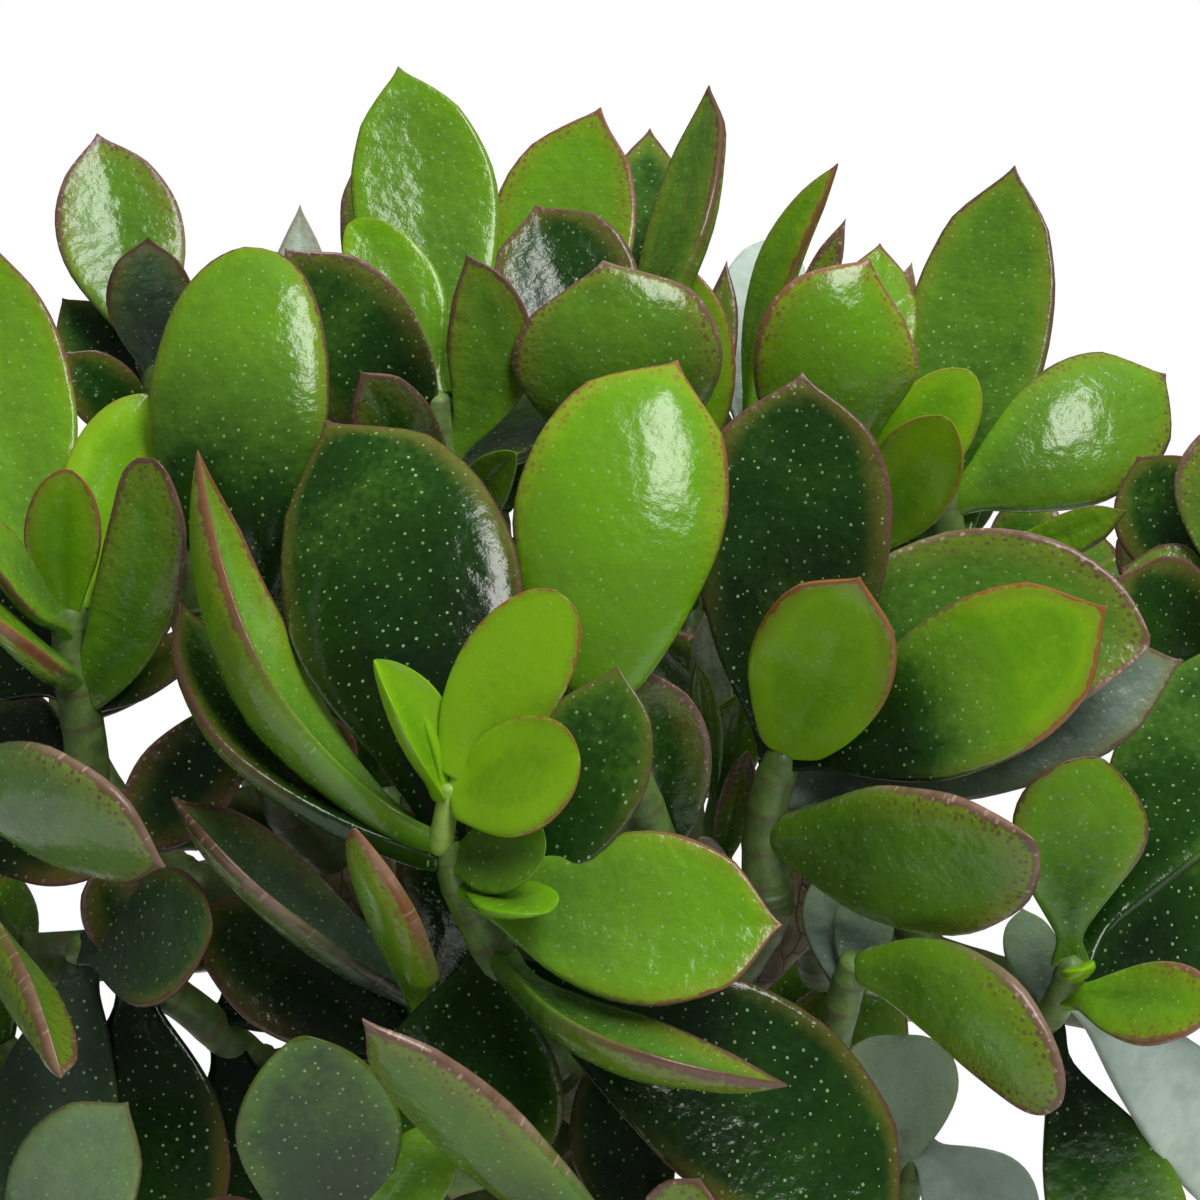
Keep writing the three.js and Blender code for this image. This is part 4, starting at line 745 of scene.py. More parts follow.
class Room:
    """The places already taken by leaves and wood."""

    def __init__(self):
        self.owners = np.empty(0, object)
        self.points = np.empty((0, 3))
        self.reaches = np.empty(0)

    def take(self, owner, points, reach):
        """Marks places as taken, each with the room that it needs round it."""
        self.owners = np.append(self.owners, [owner] * len(points))
        self.points = np.vstack([self.points, points])
        self.reaches = np.append(self.reaches, np.full(len(points), reach))

    def clear(self, row, owner):
        """Whether a leaf keeps its room from what is there, low places and open sky."""
        points = spread(row, NEAR_SHARE)
        if np.any(points[:, 2] <= LOWEST_LEAF) or not hidden_in_view(points):
            return False
        room = (self.reaches + LEAF_REACH) * np.where(self.owners == owner, OWN_ROOM, 1)
        apart = np.linalg.norm(points[:, None, :] - self.points[None, :, :], axis=2)
        return bool(np.all(apart > room))


def sunk_root(point, tip):
    """A leaf starts a little off the stem's middle, well inside the stem."""
    return point + unit(tip - point) * ROOT_OFF_AXIS


def laid_leaf(row, curve):
    """A listed leaf in millimetres."""
    tip = seen(row["tip"])
    right, rise, front = row["face"]
    root = sunk_root(curve.point(min(row["at"], HIGHEST_ROOT)), tip)
    return {**row, "root": root, "tip": tip, "face": unit(np.array([right, -front, rise]))}


def leaf_at(curve, at, turn, lean, reach):
    """A leaf that leaves its stem at a turn round it and a lean away from it, in degrees."""
    along = curve.tangent(at)
    right = unit(np.cross([0, 1, 0], along))
    over = np.cross(along, right)
    angle, tilt = math.radians(turn), math.radians(lean)
    out = right * math.cos(angle) + over * math.sin(angle)
    chord = along * math.cos(tilt) + out * math.sin(tilt)
    middle = curve.point(at)
    tip = middle + chord * reach
    return {
        "root": sunk_root(middle, tip),
        "tip": tip,
        "face": along,
        "wide": reach * GROWN_WIDTH,
        "bow": reach * GROWN_BOW,
        "cup": CUP,
        "sway": 0,
        "form": "broad",
        "bloom": 0,
        "tone": GROWN_TONE,
        "rim": None,
        "root_shade": 0,
    }


def crossed_pairs(name, parent, room):
    """Leaves in crossed pairs down a stem, shorter and steeper toward its top. A leaf that
    would cross another one turns, opens or shortens by set steps, or is left out."""
    curve = parent["curve"]
    draw = chance(len(name) * PAIR_SEED + parent["turn"])
    length = curve.length()
    tries = [(a, m, s) for s in TRIED_LENGTHS for m in TRIED_LEANS for a in TRIED_TURNS]
    for place in range(parent["pairs"] * 2):
        pair = place // 2
        at = max(LOWEST_PAIR, HIGHEST_ROOT - pair * PAIR_STEP / length)
        turn = parent["turn"] + pair * PAIR_TURN + place % 2 * 180 + (next(draw) - 0.5) * TURN_CHANCE
        lean = min(MOST_OPEN, LEAST_OPEN + pair * OPEN_STEP) + (next(draw) - 0.5) * OPEN_CHANCE
        share = min(1, TOP_SHARE + pair * SHARE_STEP)
        reach = parent["reach"] * share * (1 + (next(draw) - 0.5) * SHARE_CHANCE)
        for aside, more, shrink in tries:
            grown = leaf_at(curve, at, turn + aside, lean + more, reach * shrink)
            back = grown["tip"][1] - curve.point(at)[1]
            if parent["in_front"] and back < BACKWARD * reach * shrink:
                continue
            if not room.clear(grown, name):
                continue
            room.take(name, spread(grown, GROWN_SHARE), LEAF_REACH)
            parent["leaves"].append(grown)
            break


def wood_bars(shoots):
    """The limbs and twigs, each a curve with its foot and top radius."""
    bars = [(Curve(line), thick, "limb") for line, thick in LIMBS.values()]
    for name, parent in shoots.items():
        if name not in TWIGS:
            continue
        foot, along = parent["curve"].point(0), parent["curve"].tangent(0)
        end = foot - along * GAP
        route = [*TWIGS[name], end - along * TWIG_RUN, end]
        foot_radius = parent["thick"][0]
        bars.append((Curve(route), (foot_radius + 2 * TWIG_MORE, foot_radius + TWIG_MORE), "twig"))
    return bars


@functools.cache
def lay_shoots():
    """Every shoot's curve and leaves, the ones seen in front first."""
    room, shoots = Room(), {}
    for name, row in {**SHOOTS, **BACK_SHOOTS}.items():
        curve = row["curve"]
        leaves = [laid_leaf(leaf_row, curve) for leaf_row in row["leaves"]]
        for laid in leaves:
            room.take(name, spread(laid, LAID_SHARE), LEAF_REACH)
        room.take(name, curve.places(STEM_PLACES), row["thick"][0])
        shoots[name] = {**row, "leaves": leaves}
    for curve, thick, _ in wood_bars(shoots):
        room.take("wood", curve.places(math.ceil(curve.length() / WOOD_STEP)), max(thick))
    for name, grown in shoots.items():
        crossed_pairs(name, grown, room)
    return shoots


def new_mesh():
    """An empty mesh with the layers that the leaf and stem finishes read: place is across and
    along in mm with a chance number, shape is the distance from the leaf's edge in mm with the
    place along it and the side it is on, tint is tone (lowered by painted shade toward a leaf's
    root), bloom and how strong the rim is."""
    mesh = bmesh.new()
    for layer in ("place", "shape", "tint"):
        mesh.verts.layers.float_vector.new(layer)
    return mesh


@functools.cache
def unit_ball(around, along):
    """A ball of radius 1, made once for each count of faces."""
    mesh = new_mesh()
    bmesh.ops.create_uvsphere(mesh, u_segments=around, v_segments=along, radius=1)
    data = bpy.data.meshes.new("unit_ball")
    mesh.to_mesh(data)
    mesh.free()
    return data


def ball(mesh, around, along):
    """Adds a ball; its corners come back as verts with arrays of their x, y and z."""
    before = len(mesh.verts)
    mesh.from_mesh(unit_ball(around, along))
    mesh.verts.ensure_lookup_table()
    verts = mesh.verts[before:]
    place = np.array([v.co for v in verts], float)
    return verts, place[:, 0], place[:, 1], np.clip(place[:, 2], -1, 1)


def write(mesh, verts, points, **layers):
    """Moves corners to points given in millimetres and fills their layers."""
    for vert, point in zip(verts, points * MM):
        vert.co = point
    for name, values in layers.items():
        layer = mesh.verts.layers.float_vector[name]
        for vert, value in zip(verts, values):
            vert[layer] = value


def cornered(row, t):
    """The leaf's half width with its outline straightened to a corner at the tip."""
    half = half_width(row, t)
    if row["form"] not in CORNERED:
        return half
    near_tip = np.clip((t - CORNER_FROM) / (1 - CORNER_FROM), 0, 1)
    full = row["wide"] / 2
    return full * (half / full) ** (1 + (1 / FORMS[row["form"]][2] - 1) * near_tip)


def add_leaf(mesh, row, draw):
    """One leaf: a ball drawn out along the leaf's middle line, with a rounded rim, a faint
    groove down its middle, a lightly waved edge and an uneven skin."""
    verts, x, y, z = ball(mesh, LEAF_AROUND, LEAF_ALONG)
    t = np.clip((1 - z) / 2, 0, 1)
    ring = np.hypot(x, y)
    round_ring = np.where(ring < TINY, 1, ring)
    across, lift = x / round_ring, y / round_ring
    across[ring < TINY] = lift[ring < TINY] = 0
    length = leaf_frame(row)[3]
    thick = min(THICK_MOST, max(THICK_LEAST, THICK_SHARE * length))
    clasp = np.exp(-((t / CLASP_REACH) ** 2))
    half = np.hypot(cornered(row, t), min(CLASP_MOST, CLASP_SHARE * row["wide"]) * clasp)
    body = np.hypot(thick * np.sqrt(np.sin(np.pi * t**BODY_SHIFT)), CLASP_THICK * clasp)
    share = np.where(lift > 0, UPPER_SHARE, 1 - UPPER_SHARE)
    above = np.sign(lift) * body * share * np.abs(lift) ** EDGE_THINNING
    groove = np.exp(-((across / GROOVE_WIDTH) ** 2)) * np.sin(np.pi * t) * np.maximum(lift, 0)
    phase, waves = 2 * np.pi * draw(), 2 + 2 * draw()
    wave = np.sin(phase + waves * np.pi * t) * np.sign(across) * across**2 * np.sin(np.pi * t)
    above = above - GROOVE_DEPTH * groove + EDGE_WAVE * row["wide"] * wave
    points = leaf_points(row, t, across, above, half)
    seed = PATTERN_SPREAD * draw()
    shift = Vector((seed, 0, 0))
    uneven = [noise.noise(Vector(p) * UNEVEN_SCALE + shift) for p in points]
    centre = leaf_points(row, t, np.zeros(len(t)), np.zeros(len(t)))
    outward = points - centre
    outward /= np.maximum(np.linalg.norm(outward, axis=1), TINY)[:, None]
    points = points + outward * (np.array(uneven) * UNEVEN_DEPTH * np.minimum(1, half / 4))[:, None]
    pointed = TIP_OUT * np.exp(-(((1 - t) / TIP_REACH) ** 2))
    points = points + (row["tip"] - row["root"]) * (pointed - TIP_OUT * t)[:, None]
    edge = np.minimum(half * (1 - np.abs(across)), (1 - t) * length * TIP_BAND + 0.4 * half)
    edge = np.hypot(edge, above)
    tone = row["tone"] + TONE_CHANCE * (draw() - 0.5)
    # Painted shade: the tone is lowered toward the root, where the leaf lies in shade.
    tone = tone - row["root_shade"] * np.clip(1 - (t / ROOT_SHADE_REACH) ** ROOT_SHADE_CURVE, 0, 1)
    chosen = RIM_LEAST + (1 - 2 * RIM_LEAST) * draw()
    rim = chosen if row["rim"] is None else row["rim"]
    write(
        mesh,
        verts,
        points,
        place=np.column_stack([half * across + 3 * seed, t * length, np.full(len(t), seed)]),
        shape=np.column_stack([edge, t, lift]),
        tint=np.column_stack([tone, np.full(len(t), row["bloom"]), np.full(len(t), rim)]),
    )


def add_bar(mesh, curve, radius, faces, tone=0, material=0):
    """A round bar along a curve with round ends: radius gives its size at a place from 0 to 1,
    faces how many it has round and along it, and tone how green it is."""
    verts, x, y, z = ball(mesh, *faces)
    t = np.arccos(-z) / np.pi
    ring = np.hypot(x, y)
    round_ring = np.where(ring < TINY, 1, ring)
    length = curve.length()
    steps, which = np.unique(np.round(t, 4), return_inverse=True)
    middle = np.array([curve.point(step) for step in steps])
    ahead = np.array([curve.tangent(step) for step in steps])
    right = np.cross(ahead, SLANT)
    right /= np.linalg.norm(right, axis=1)[:, None]
    over = np.cross(right, ahead)
    wide = np.array([radius(step, length) for step in steps])[which]
    to_end = np.minimum(t, 1 - t) * length / wide
    wide = wide * np.sqrt(1 - np.clip(1 - to_end, 0, 1) ** 2)
    out = right[which] * (x / round_ring)[:, None] + over[which] * (y / round_ring)[:, None]
    write(
        mesh,
        verts,
        middle[which] + out * wide[:, None],
        place=np.column_stack([x, t * length, np.full(len(t), length)]),
        shape=np.column_stack([ring, t, x]),
        tint=np.column_stack([np.full(len(t), tone), t, t]),
    )
    for face in {face for vert in verts for face in vert.link_faces}:
        face.material_index = material


def ringed(foot, top, spacing, depth):
    """The radius of a stem with the rings that old leaves leave on it, in millimetres."""

    def radius(t, length):
        place = t * length / spacing
        ring = math.exp(-(((place % 1) - 0.5) ** 2) / RING_SHARPNESS)
        return (foot + (top - foot) * t) * (1 + depth * ring)

    return radius


def finish_piece(name, mesh, materials, nodes):
    """Makes the object from a mesh, smooth, in place and riding on the plant's body."""
    bmesh.ops.recalc_face_normals(mesh, faces=mesh.faces)
    data = bpy.data.meshes.new(name)
    mesh.to_mesh(data)
    mesh.free()
    data.shade_smooth()
    for material in materials:
        data.materials.append(material)
    piece = bpy.data.objects.new(name, data)
    bpy.context.scene.collection.objects.link(piece)
    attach(piece, BODY)
    if nodes:
        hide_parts(*nodes)
    return piece


def build_shoot(name, parent, index):
    """One leafy shoot: its stem and its thick leaves."""
    stream = chance(LEAF_SEED_STEP * index + LEAF_SEED)
    mesh = new_mesh()
    foot, top = parent["thick"]
    young = name == YOUNG_SHOOT
    radius = ringed(foot, top, STEM_RING_SPACING, STEM_RING_DEPTH)
    stem = parent["curve"]
    sunk = Curve([stem.point(0) - stem.tangent(0) * STEM_SUNK, *stem.points])
    add_bar(mesh, sunk, radius, STEM_FACES, YOUNG_STEM if young else OLD_STEM, material=1)
    for row in parent["leaves"]:
        add_leaf(mesh, row, lambda: next(stream))
    skin = materials()["young_leaf" if young else "leaf"]
    label = "leafy_" + name.replace("shoot_", "")
    return finish_piece(label, mesh, [skin, materials()["stem"]], [name])


def build_wood(shoots):
    """The trunk and limbs, run together at the fork, and the greener twigs that leave them."""
    mesh = new_mesh()
    trunk = Curve([(0, 0, TRUNK_FOOT), (0, 0, SOIL_TOP + 6), (0, 0, FORK_HEIGHT)])

    def flare(t, length):
        return TRUNK_RADIUS - TRUNK_TAPER * max(0, t - TAPER_FROM)

    add_bar(mesh, trunk, flare, TRUNK_FACES)
    for curve, thick, kind in wood_bars(shoots):
        if kind == "limb":
            rings = ringed(*thick, BARK_RING_SPACING, BARK_RING_DEPTH)
            add_bar(mesh, curve, rings, LIMB_FACES)
    bark = [materials()["bark"]]
    wood = finish_piece("woody_trunk_and_limbs", mesh, bark, ["trunk_and_branches"])
    merge = wood.modifiers.new("One skin", "REMESH")
    merge.mode = "VOXEL"
    merge.voxel_size = WOOD_VOXEL * MM
    merge.use_smooth_shade = True
    ease = wood.modifiers.new("Eased forks", "SMOOTH")
    ease.factor = EASE_SHARE
    ease.iterations = EASE_ROUNDS
    apply_modifiers(wood)
    wood.data.shade_smooth()
    twigs = new_mesh()
    for curve, thick, kind in wood_bars(shoots):
        if kind == "twig":
            rings = ringed(*thick, STEM_RING_SPACING, STEM_RING_DEPTH)
            add_bar(twigs, curve, rings, TWIG_FACES, TWIG_TONE)
    twig_piece = finish_piece("green_twigs", twigs, [materials()["stem"]], [])
    return wood, twig_piece


def spun(profile, steps):
    """A mesh from a closed profile of (radius, height) in millimetres, turned once round Z."""
    mesh = bmesh.new()
    verts = [mesh.verts.new((r * MM, 0, z * MM)) for r, z in profile]
    edges = [mesh.edges.new(pair) for pair in zip(verts, verts[1:])]
    bmesh.ops.spin(
        mesh,
        geom=verts + edges,
        cent=(0, 0, 0),
        axis=(0, 0, 1),
        angle=2 * math.pi,
        steps=steps,
        use_merge=True,
    )
    bmesh.ops.remove_doubles(mesh, verts=mesh.verts, dist=TINY)
    return mesh


def rounded(points, radii, steps=ARC_STEPS):
    """A profile with each inner corner turned into an arc of its radius."""
    out = [np.array(points[0], float)]
    for before, corner, after, radius in zip(points, points[1:], points[2:], radii):
        before, corner, after = (np.array(p, float) for p in (before, corner, after))
        if radius == 0:
            out.append(corner)
            continue
        start, end = unit(before - corner) * radius + corner, unit(after - corner) * radius + corner
        for step in range(steps + 1):
            share = step / steps
            a = start * (1 - share) + corner * share
            b = corner * (1 - share) + end * share
            out.append(a * (1 - share) + b * share)
    out.append(np.array(points[-1], float))
    return out


def build_pot():
    """The clay pot: a tapering bowl with a band round its rim and drain holes in its floor."""
    band = POT_HEIGHT - RIM_BAND_HEIGHT
    neck = POT_RIM_RADIUS - RIM_BAND_OUT
    inner = POT_RIM_RADIUS - POT_WALL
    profile = rounded(
        [
            (0, 0),
            (POT_FOOT_RADIUS, 0),
            (neck, band),
            (POT_RIM_RADIUS, band),
            (POT_RIM_RADIUS, POT_HEIGHT),
            (inner, POT_HEIGHT),
            (inner, band),
            (POT_FOOT_RADIUS - POT_WALL, POT_FLOOR),
            (0, POT_FLOOR),
        ],
        POT_ROUNDING,
    )
    mesh = spun(profile, POT_STEPS)
    pot = finish_piece("clay_pot", mesh, [materials()["terracotta"]], ["pot"])
    cutters = bmesh.new()
    for hole in range(DRAIN_HOLES):
        angle = (hole + 0.5) * 2 * math.pi / DRAIN_HOLES
        made = bmesh.ops.create_cone(
            cutters,
            cap_ends=True,
            segments=DRAIN_SIDES,
            radius1=DRAIN_RADIUS * MM,
            radius2=DRAIN_RADIUS * MM,
            depth=3 * POT_FLOOR * MM,
        )
        place = Vector((math.cos(angle), math.sin(angle), 0)) * DRAIN_RING * MM
        bmesh.ops.translate(cutters, verts=made["verts"], vec=place)
    drill_data = bpy.data.meshes.new("drill")
    cutters.to_mesh(drill_data)
    cutters.free()
    drill = bpy.data.objects.new("drill", drill_data)
    bpy.context.scene.collection.objects.link(drill)
    cut = pot.modifiers.new("Drain holes", "BOOLEAN")
    cut.object = drill
    cut.solver = "EXACT"
    apply_modifiers(pot)
    bpy.data.objects.remove(drill)
    pot.data.shade_smooth()
    return pot


def apply_modifiers(piece):
    """Writes a piece's modifiers into its mesh."""
    graph = bpy.context.evaluated_depsgraph_get()
    made = bpy.data.meshes.new_from_object(piece.evaluated_get(graph), depsgraph=graph)
    old = piece.data
    piece.modifiers.clear()
    piece.data = made
    bpy.data.meshes.remove(old)
    made.name = piece.name


def build_soil():
    """The soil, heaped a little toward the trunk, with an uneven top."""
    wall = POT_RIM_RADIUS - POT_WALL - GAP
    flat = wall * SOIL_FLAT_SHARE
    hole = TRUNK_RADIUS - 1
    top = [
        (wall - (wall - flat) * i / HEAP_STEPS, SOIL_TOP - SOIL_HEAP * (1 - i / HEAP_STEPS))
        for i in range(HEAP_STEPS + 1)
    ]
    top += [(flat - (flat - hole) * i / FLAT_STEPS, SOIL_TOP) for i in range(1, FLAT_STEPS + 1)]
    low = SOIL_TOP - SOIL_HEAP - SOIL_SKIN
    mesh = spun([(hole, low), (wall, low), *top, (hole, low)], POT_STEPS)
    for vert in mesh.verts:
        if vert.co.z > (low + 2) * MM:
            place = vert.co / MM
            rough = noise.fractal(place * SOIL_ROUGH_SCALE, 1, 2, 5) * SOIL_ROUGH_DEPTH
            inward = min(1, max(0, (wall - place.to_2d().length) / SOIL_CALM_EDGE))
            vert.co.z += rough * inward * MM
    return finish_piece("soil_surface", mesh, [materials()["soil"]], ["soil"])


def build_grit():
    """Crumbs of bark and grit that lie half sunk in the soil's top."""
    draw = chance(GRIT_SEED)
    mesh = bmesh.new()
    wall = POT_RIM_RADIUS - POT_WALL
    nearest, farthest = TRUNK_RADIUS + GRIT_MARGIN, wall - GRIT_MARGIN
    for _ in range(GRIT_COUNT):
        angle = 2 * math.pi * next(draw)
        out = nearest + (farthest - nearest) * math.sqrt(next(draw))
        size = GRIT_LEAST + GRIT_MORE * next(draw) ** 3
        slope = max(0, (out / wall - SOIL_FLAT_SHARE) / (1 - SOIL_FLAT_SHARE))
        heap = SOIL_TOP - SOIL_HEAP * slope
        made = bmesh.ops.create_icosphere(mesh, subdivisions=1, radius=size * MM)
        stretch = Vector((1 + 0.6 * next(draw), 1, 0.6 + 0.4 * next(draw)))
        bmesh.ops.scale(mesh, verts=made["verts"], vec=stretch)
        turn = next(draw) * 2 * math.pi
        spin = (math.cos(turn), math.sin(turn))
        for vert in made["verts"]:
            x, y = vert.co.x, vert.co.y
            vert.co.x, vert.co.y = x * spin[0] - y * spin[1], x * spin[1] + y * spin[0]
        place = Vector((out * math.cos(angle), out * math.sin(angle), heap + GRIT_RAISED * size)) * MM
        bmesh.ops.translate(mesh, verts=made["verts"], vec=place)
    grit = finish_piece("soil_grit", mesh, [materials()["grit"]], [])
    grit.data.shade_flat()
    return grit


def colour(code):
    """A web colour as linear red, green, blue and alpha."""
    channels = [(code >> shift & 255) / 255 for shift in (16, 8, 0)]
    return (*[c / 12.92 if c <= 0.04045 else ((c + 0.055) / 1.055) ** 2.4 for c in channels], 1)


def tones(*codes):
    """Evenly spaced stops of a colour ramp from web colours."""
    return [(i / (len(codes) - 1), colour(code)) for i, code in enumerate(codes)]


RIM = colour(0x6B2A1E)
RIM_ON_LIME = colour(0x8A5230)
OLIVE = colour(0x76682A)
PALE_DOT = colour(0x9CC080)
POWDER = colour(0xB2C4BA)
# The pale rim crust, partly painted sheen.
CRUST_AND_SHEEN = colour(0xB09484)
RING_SCAR = colour(0x5A5132)
BARK_CRACK = colour(0x241C12)
PALE_CLAY = colour(0xC07C58)
DARK_CLAY = colour(0x8A4E34)
LIME_MARK = colour(0xD8C3B0)
LEAF_TONES = tones(0x10240C, 0x1F4012, 0x4A7220, 0x5E8A20, 0x629612, 0x7CAC16)
STEM_TONES = tones(0x3A3F22, 0x46592C, 0x6A8A42, 0x8FB04A)
BARK_TONES = tones(0x3A3222, 0x5C5236, 0x77704C)
SOIL_TONES = tones(0x1E150E, 0x2B1F15, 0x3D2C1E, 0x5A4632, 0x5A4632)
GRIT_TONES = tones(0x2B1F15, 0x4A3524, 0x6B543C, 0xA89C88)


class Wiring:
    """Short words for making and joining a node tree's nodes."""

    def __init__(self, tree):
        self.tree = tree

    def make(self, kind, **settings):
        made = self.tree.nodes.new(kind)
        for name, value in settings.items():
            setattr(made, name, value)
        return made

    def feed(self, socket, value):
        if isinstance(value, bpy.types.NodeSocket):
            self.tree.links.new(value, socket)
        else:
            socket.default_value = value

    def maths(self, operation, first, second=0.0, clamp=False):
        made = self.make("ShaderNodeMath", operation=operation, use_clamp=clamp)
        self.feed(made.inputs[0], first)
        self.feed(made.inputs[1], second)
        return made.outputs[0]

    def times(self, first, second):
        return self.maths("MULTIPLY", first, second)

    def plus(self, first, second, clamp=False):
        return self.maths("ADD", first, second, clamp)

    def ranged(self, value, low, high, start=0.0, end=1.0, smooth=True):
        """Value taken from low..high to start..end, held at the ends."""
        made = self.make("ShaderNodeMapRange")
        made.interpolation_type = "SMOOTHSTEP" if smooth else "LINEAR"
        for socket, given in zip(made.inputs, (value, low, high, start, end)):
            self.feed(socket, given)
        return made.outputs[0]

    def mixed(self, share, first, second):
        made = self.make("ShaderNodeMix", data_type="RGBA")
        made.clamp_factor = True
        self.feed(made.inputs[0], share)
        self.feed(made.inputs[6], first)
        self.feed(made.inputs[7], second)
        return made.outputs[2]

    def ramp(self, value, stops):
        made = self.make("ShaderNodeValToRGB")
        elements = made.color_ramp.elements
        for place, shade in stops[:2]:
            element = elements[0 if place == stops[0][0] else 1]
            element.position, element.color = place, shade
        for place, shade in stops[2:]:
            elements.new(place).color = shade
        self.feed(made.inputs[0], value)
        return made.outputs[0]

    def layer(self, name):
        return self.make("ShaderNodeAttribute", attribute_name=name).outputs["Vector"]

    def on_piece(self):
        return self.make("ShaderNodeTexCoord").outputs["Object"]

    def parts(self, vector):
        made = self.make("ShaderNodeSeparateXYZ")
        self.feed(made.inputs[0], vector)
        return made.outputs

    def clouds(self, vector, scale, detail=2.0, roughness=0.5):
        made = self.make("ShaderNodeTexNoise")
        self.feed(made.inputs["Vector"], vector)
        self.feed(made.inputs["Scale"], scale)
        self.feed(made.inputs["Detail"], detail)
        self.feed(made.inputs["Roughness"], roughness)
        return made.outputs[0]


def effect(name, inputs, outputs):
    """A shader node group with named inputs (kind and default) and outputs."""
    tree = bpy.data.node_groups.new(name, "ShaderNodeTree")
    for label, (kind, default) in inputs.items():
        socket = tree.interface.new_socket(name=label, in_out="INPUT", socket_type=kind)
        if default is not None:
            socket.default_value = default
    for label, kind in outputs.items():
        tree.interface.new_socket(name=label, in_out="OUTPUT", socket_type=kind)
    wiring = Wiring(tree)
    return wiring, wiring.make("NodeGroupInput").outputs, wiring.make("NodeGroupOutput").inputs


FLOAT, COLOUR, VECTOR = "NodeSocketFloat", "NodeSocketColor", "NodeSocketVector"


def dots_effect():
    """Round dots spread evenly over a flat pattern place."""
    wiring, given, out = effect(
        "Pale dots",
        {"Place": (VECTOR, None), "Spacing": (FLOAT, 3.0), "Size": (FLOAT, 0.35)},
        {"Dots": FLOAT},
    )
    cells = wiring.make("ShaderNodeTexVoronoi", voronoi_dimensions="2D", feature="F1")
    cells.inputs["Randomness"].default_value = 0.9
    wiring.feed(cells.inputs["Vector"], given["Place"])
    wiring.feed(cells.inputs["Scale"], wiring.maths("DIVIDE", 1.0, given["Spacing"]))
    reach = wiring.maths("DIVIDE", given["Size"], given["Spacing"])
    any_size = wiring.ranged(wiring.parts(cells.outputs["Color"])[0], 0.0, 1.0, 0.55, 1.25)
    reach = wiring.times(reach, any_size)
    outer = wiring.times(reach, 1.35)
    dots = wiring.ranged(cells.outputs["Distance"], reach, outer, 1.0, 0.0)
    wiring.feed(out["Dots"], dots)
    return wiring.tree


def mottle_effect():
    """Soft cloudy unevenness between two values."""
    wiring, given, out = effect(
        "Mottle",
        {"Place": (VECTOR, None), "Scale": (FLOAT, 1.0), "Low": (FLOAT, 0.0), "High": (FLOAT, 1.0)},
        {"Value": FLOAT},
    )
    clouds = wiring.clouds(given["Place"], given["Scale"], 4.0, 0.55)
    wiring.feed(out["Value"], wiring.ranged(clouds, 0.32, 0.68, given["Low"], given["High"]))
    return wiring.tree


def use(wiring, tree, **values):
    """Places a node group with its inputs fed by name; returns its outputs."""
    made = wiring.make("ShaderNodeGroup", node_tree=tree)
    for label, value in values.items():
        wiring.feed(made.inputs[label], value)
    return made.outputs


def mottled(wiring, mottle, place, scale, low, high):
    """A value that drifts from low to high in soft clouds."""
    return use(wiring, mottle, Place=place, Scale=scale, Low=low, High=high)["Value"]


